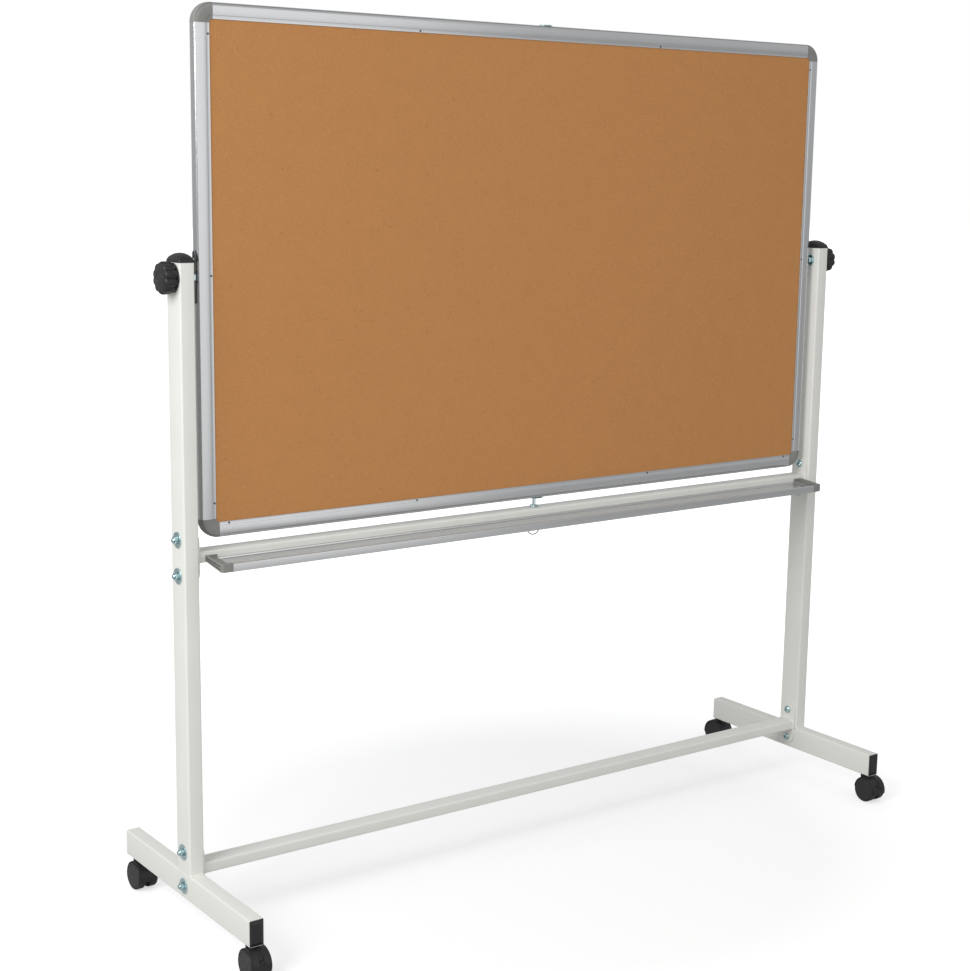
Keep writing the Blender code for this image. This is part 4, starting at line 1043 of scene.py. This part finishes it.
# Pivot washers
# Thick zinc washers between the nuts and the uprights.
thick_washer_radius = 0.0130
for side in ("left", "right"):
    low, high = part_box(f"{side}_pivot_washer")
    thick = high.x - low.x
    washer = spun(bmesh.new(), (
        (washer_bore, 0.0), (thick_washer_radius - 0.0003, 0.0), (thick_washer_radius, 0.0004),
        (thick_washer_radius, thick - 0.0004), (thick_washer_radius - 0.0003, thick), (washer_bore, thick),
    ), joined=True)
    washer.transform(turned_at((low.x, 0, (low.z + high.z) / 2), 90))
    piece(f"{side}_thick_washer", washer, zinc, "stand", [f"{side}_pivot_washer"])

# Knobs
# Black moulded clamping knobs with ten lobes on a round flange. Turning one by hand stops the board.
lobes = 10
flute_depth = 0.12  # as a share of the radius
knob_bore = 0.0043
knob_bore_depth = 0.0200
knob_steps = 160
# radius, and distance out from the upright
knob_profile = (
    (0.0258, 0.0), (0.0258, 0.0026), (0.0252, 0.0030), (0.0253, 0.0031), (0.0268, 0.0046),
    (0.0277, 0.0072), (0.0283, 0.0120), (0.0285, 0.0180), (0.0282, 0.0206), (0.0273, 0.0230),
    (0.0257, 0.0247), (0.0234, 0.0255), (0.0120, 0.0255), (0.0114, 0.0249), (0.0106, 0.0249),
    (0.0102, 0.0253), (0.0010, 0.0253),
)
for side, sign in (("left", -1), ("right", 1)):
    low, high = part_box(f"{side}_knob")
    seat = high.x if sign < 0 else low.x
    rings = [ring_at(knob_bore, knob_bore_depth, knob_steps), ring_at(knob_bore, 0.0, knob_steps)]
    for radius, level in knob_profile:
        flute = flute_depth if 0.0030 < level and radius > 0.013 else 0.0

        def lobed(angle):
            wave = (0.5 + 0.5 * math.cos(lobes * angle)) ** 0.45
            return radius * (1 - flute * (1 - wave))

        rings.append(ring_at(lobed, level, knob_steps))
    knob = loft(bmesh.new(), rings)
    knob.transform(turned_at((seat, 0, (low.z + high.z) / 2), 90 * sign))
    piece(f"{side}_lobed_knob", knob, black, f"{side}_knob", [f"{side}_knob"], 38)

# Marker tray
# One aluminium extrusion against the upper crossbar: a back wall, a floor that falls towards the front, and
# a lip that turns up into a round bead.
tray_low, tray_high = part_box("marker_tray")


def across_tray(outline, ends):
    """Lofts an outline in the Y and Z plane from one X to another, above the tray's lowest level."""
    return loft(bmesh.new(), [[(x, y, tray_low.z + z) for y, z in outline] for x in ends])


deep = tray_high.y - tray_low.y
tall = tray_high.z - tray_low.z
wall = 0.0016
bead = 0.0018
floor_front = 0.0045  # underside of the floor, at the lip and at the back wall
floor_back = 0.0098
tray_section = [(0.0, floor_back), (0.0010, floor_back - 0.0001), (deep - wall - 0.0008, floor_front)]
tray_section += [(deep - wall, floor_front - 0.0006), (deep - wall, 0.0003), (deep - wall + 0.0003, 0.0)]
tray_section += [(deep - 0.0004, 0.0), (deep, 0.0004)]
tray_section += bow((deep - bead, tall - bead), bead, 0, 200, 12)
tray_section += bow((deep - wall - 0.0036, floor_front + 0.0052), 0.0034, -8, -78, 6)
tray_section += [(wall + 0.0026, floor_back + wall), (wall + 0.0019, floor_back + wall + 0.0002)]
tray_section += [(wall + 0.0014, floor_back + wall + 0.0006), (wall + 0.0006, tall - 0.0006)]
tray_section += [(wall - 0.0003, tall), (0.0003, tall), (0.0, tall - 0.0003)]
tray = across_tray([(tray_high.y - out, up) for out, up in tray_section], (tray_low.x, tray_high.x))
piece("tray_extrusion", tray, aluminium_along_x, "stand", ["marker_tray"])

# Tray caps
# Grey moulded ends shaped like a wedge, hollow above so that the trough runs on into them, with a round
# front corner, two slots across the end, and a tongue that slides under the tray's floor.
cap_length = 0.0230
cap_round = 0.0060
cap_back_rise = 0.0055  # how far the ends stand above the tray's rim
cap_front_rise = 0.0006
slot_half = 0.0015
slot_margin = 0.0040
slot_depth = 0.0042
slot_shares = (0.36, 0.70)

for side, sign in (("left", -1), ("right", 1)):
    low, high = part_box(f"{side}_tray_cap")
    outer = low.x if sign < 0 else high.x
    inner = outer - sign * cap_length
    rings = []
    for share, inset in ((0.0, 0.0007), (0.035, 0.0), (0.965, 0.0), (1.0, 0.0007)):
        end_x = outer - sign * inset
        front = low.y + inset
        outline = [(inner, high.y), (inner, front)]
        for across, up in bow((0, 0), cap_round, 90, 0, 8):
            outline.append((end_x - sign * (cap_round - across), front + cap_round - up))
        outline.append((end_x, high.y))
        ring = []
        for x, y in outline:
            forward = (high.y - y) / deep
            under = floor_back * (1 - forward)
            over = tall + cap_back_rise * (1 - forward) + cap_front_rise * forward
            ring.append((x, y, tray_low.z + under + (over - under) * share))
        rings.append(ring)
    cutters = []
    slot_back = high.y - slot_margin
    slot_front = low.y + slot_margin
    for share in slot_shares:
        back_level = floor_back + (tall + cap_back_rise - floor_back) * share
        front_level = (tall + cap_front_rise) * share
        slot = [(slot_back, back_level - slot_half), (slot_front, front_level - slot_half)]
        slot += [(slot_front, front_level + slot_half), (slot_back, back_level + slot_half)]
        cutters.append(across_tray(slot, (outer - sign * slot_depth, outer + sign * 0.0020)))
    hollow = [(high.y - wall, floor_back + 0.0052), (low.y + 0.0070, floor_front + 0.0050)]
    hollow += [(low.y + 0.0052, floor_front + 0.0064), (low.y + 0.0046, 0.0300), (high.y - wall, 0.0300)]
    cutters.append(across_tray(hollow, (inner - sign * 0.0010, outer - sign * 0.0056)))
    shape = carved(loft(bmesh.new(), rings), cutters)
    tongue = ((0.0019, 0.0003), (0.0139, 0.0003), (0.0139, 0.0042), (0.0019, 0.0042))
    tongue = [(low.y + back, up) for back, up in tongue]
    added(shape, across_tray(tongue, (inner + sign * 0.0010, inner - sign * 0.0100)))
    piece(f"{side}_tray_end", shape, grey, "stand", [f"{side}_tray_cap"])

# Latch
# A plated pin in a threaded bush on the upper crossbar, locked by a nut. A wire ring hangs from a cross
# hole in the pin's tail, for pulling the pin down.
pin_radius = 0.00325
tail_radius = 0.00275
guide_bore = 0.00355
guide_radius = 0.0060
flange_radius = 0.0080
flange_height = 0.0010
lock_nut_flats = 0.0150
lock_nut_height = 0.0050
collar_radius = 0.0060
collar_height = 0.0020
eye_radius = 0.0015
guide_low, guide_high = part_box("latch_guide")
eye = joint_places["ring_swing"]
bush = spun(bmesh.new(), (
    (guide_bore, guide_low.z), (flange_radius, guide_low.z), (flange_radius, guide_low.z + flange_height),
    (guide_radius, guide_low.z + flange_height), (guide_radius, guide_high.z - 0.0003),
    (guide_radius - 0.0003, guide_high.z), (guide_bore, guide_high.z),
), joined=True)
nut(bush, lock_nut_flats, guide_high.z - lock_nut_height, guide_high.z - 0.0004, 0.0058)
piece("latch_bush", bush, zinc, "stand", ["latch_guide"])

pin_low, pin_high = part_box("latch_pin")
collar = guide_low.z - 0.0003
pin = spun(bmesh.new(), (
    (0.0022, pin_low.z), (tail_radius, pin_low.z + 0.0005), (tail_radius, collar - collar_height),
    (collar_radius - 0.0003, collar - collar_height), (collar_radius, collar - collar_height + 0.0003),
    (collar_radius, collar - 0.0003), (collar_radius - 0.0003, collar), (pin_radius, collar),
    (pin_radius, pin_high.z - 0.0014), (0.0030, pin_high.z - 0.0006), (0.0022, pin_high.z - 0.0001),
    (0.0010, pin_high.z),
))
pin = drilled(pin, [((-past, 0, eye.z), (past, 0, eye.z), eye_radius)])
piece("latch_plunger", pin, zinc, "latch", ["latch_pin"])



def wound(place, steps, radius, wire, corners):
    """A bent wire. The rule gives a point from the step, its reach and how far it lies aside."""
    rings = []
    for number in range(steps + 1):
        loop = []
        for corner in range(corners):
            around = 2 * math.pi * corner / corners
            loop.append(place(number, radius + wire * math.cos(around), wire * math.sin(around)))
        rings.append(loop)
    return loft(bmesh.new(), rings)


hoop = 0.0154
hoop_wire = 0.0010
hoop_steps = 72


def on_hoop(number, reach, aside):
    turn = math.radians(92 + 356 * number / hoop_steps)
    return (reach * math.cos(turn), aside, eye.z - hoop + reach * math.sin(turn))


ring = wound(on_hoop, hoop_steps, hoop, hoop_wire, 12)
piece("pull_wire_ring", ring, dark_steel, "ring", ["pull_ring"])

# Latch spring
# A coil of spring wire between the crossbar's floor and the pin's collar. The real spring shortens as the pin
# is pulled; this coil is built at one length.
spring_low, spring_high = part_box("latch_spring")
spring_wire = 0.0004
coil_radius = (spring_high.x - spring_low.x) / 2 - spring_wire
turns_of_wire = 5
steps_per_turn = 24
coil_steps = turns_of_wire * steps_per_turn
start_z = spring_low.z + spring_wire
rise = spring_high.z - spring_low.z - 2 * spring_wire


def on_coil(number, reach, aside):
    turn = 2 * math.pi * number / steps_per_turn
    return (reach * math.cos(turn), reach * math.sin(turn), start_z + rise * number / coil_steps + aside)


wire = wound(on_coil, coil_steps, coil_radius, spring_wire, 8)
coil = piece("latch_coil", wire, zinc, "stand", ["latch_spring"])
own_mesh(coil)
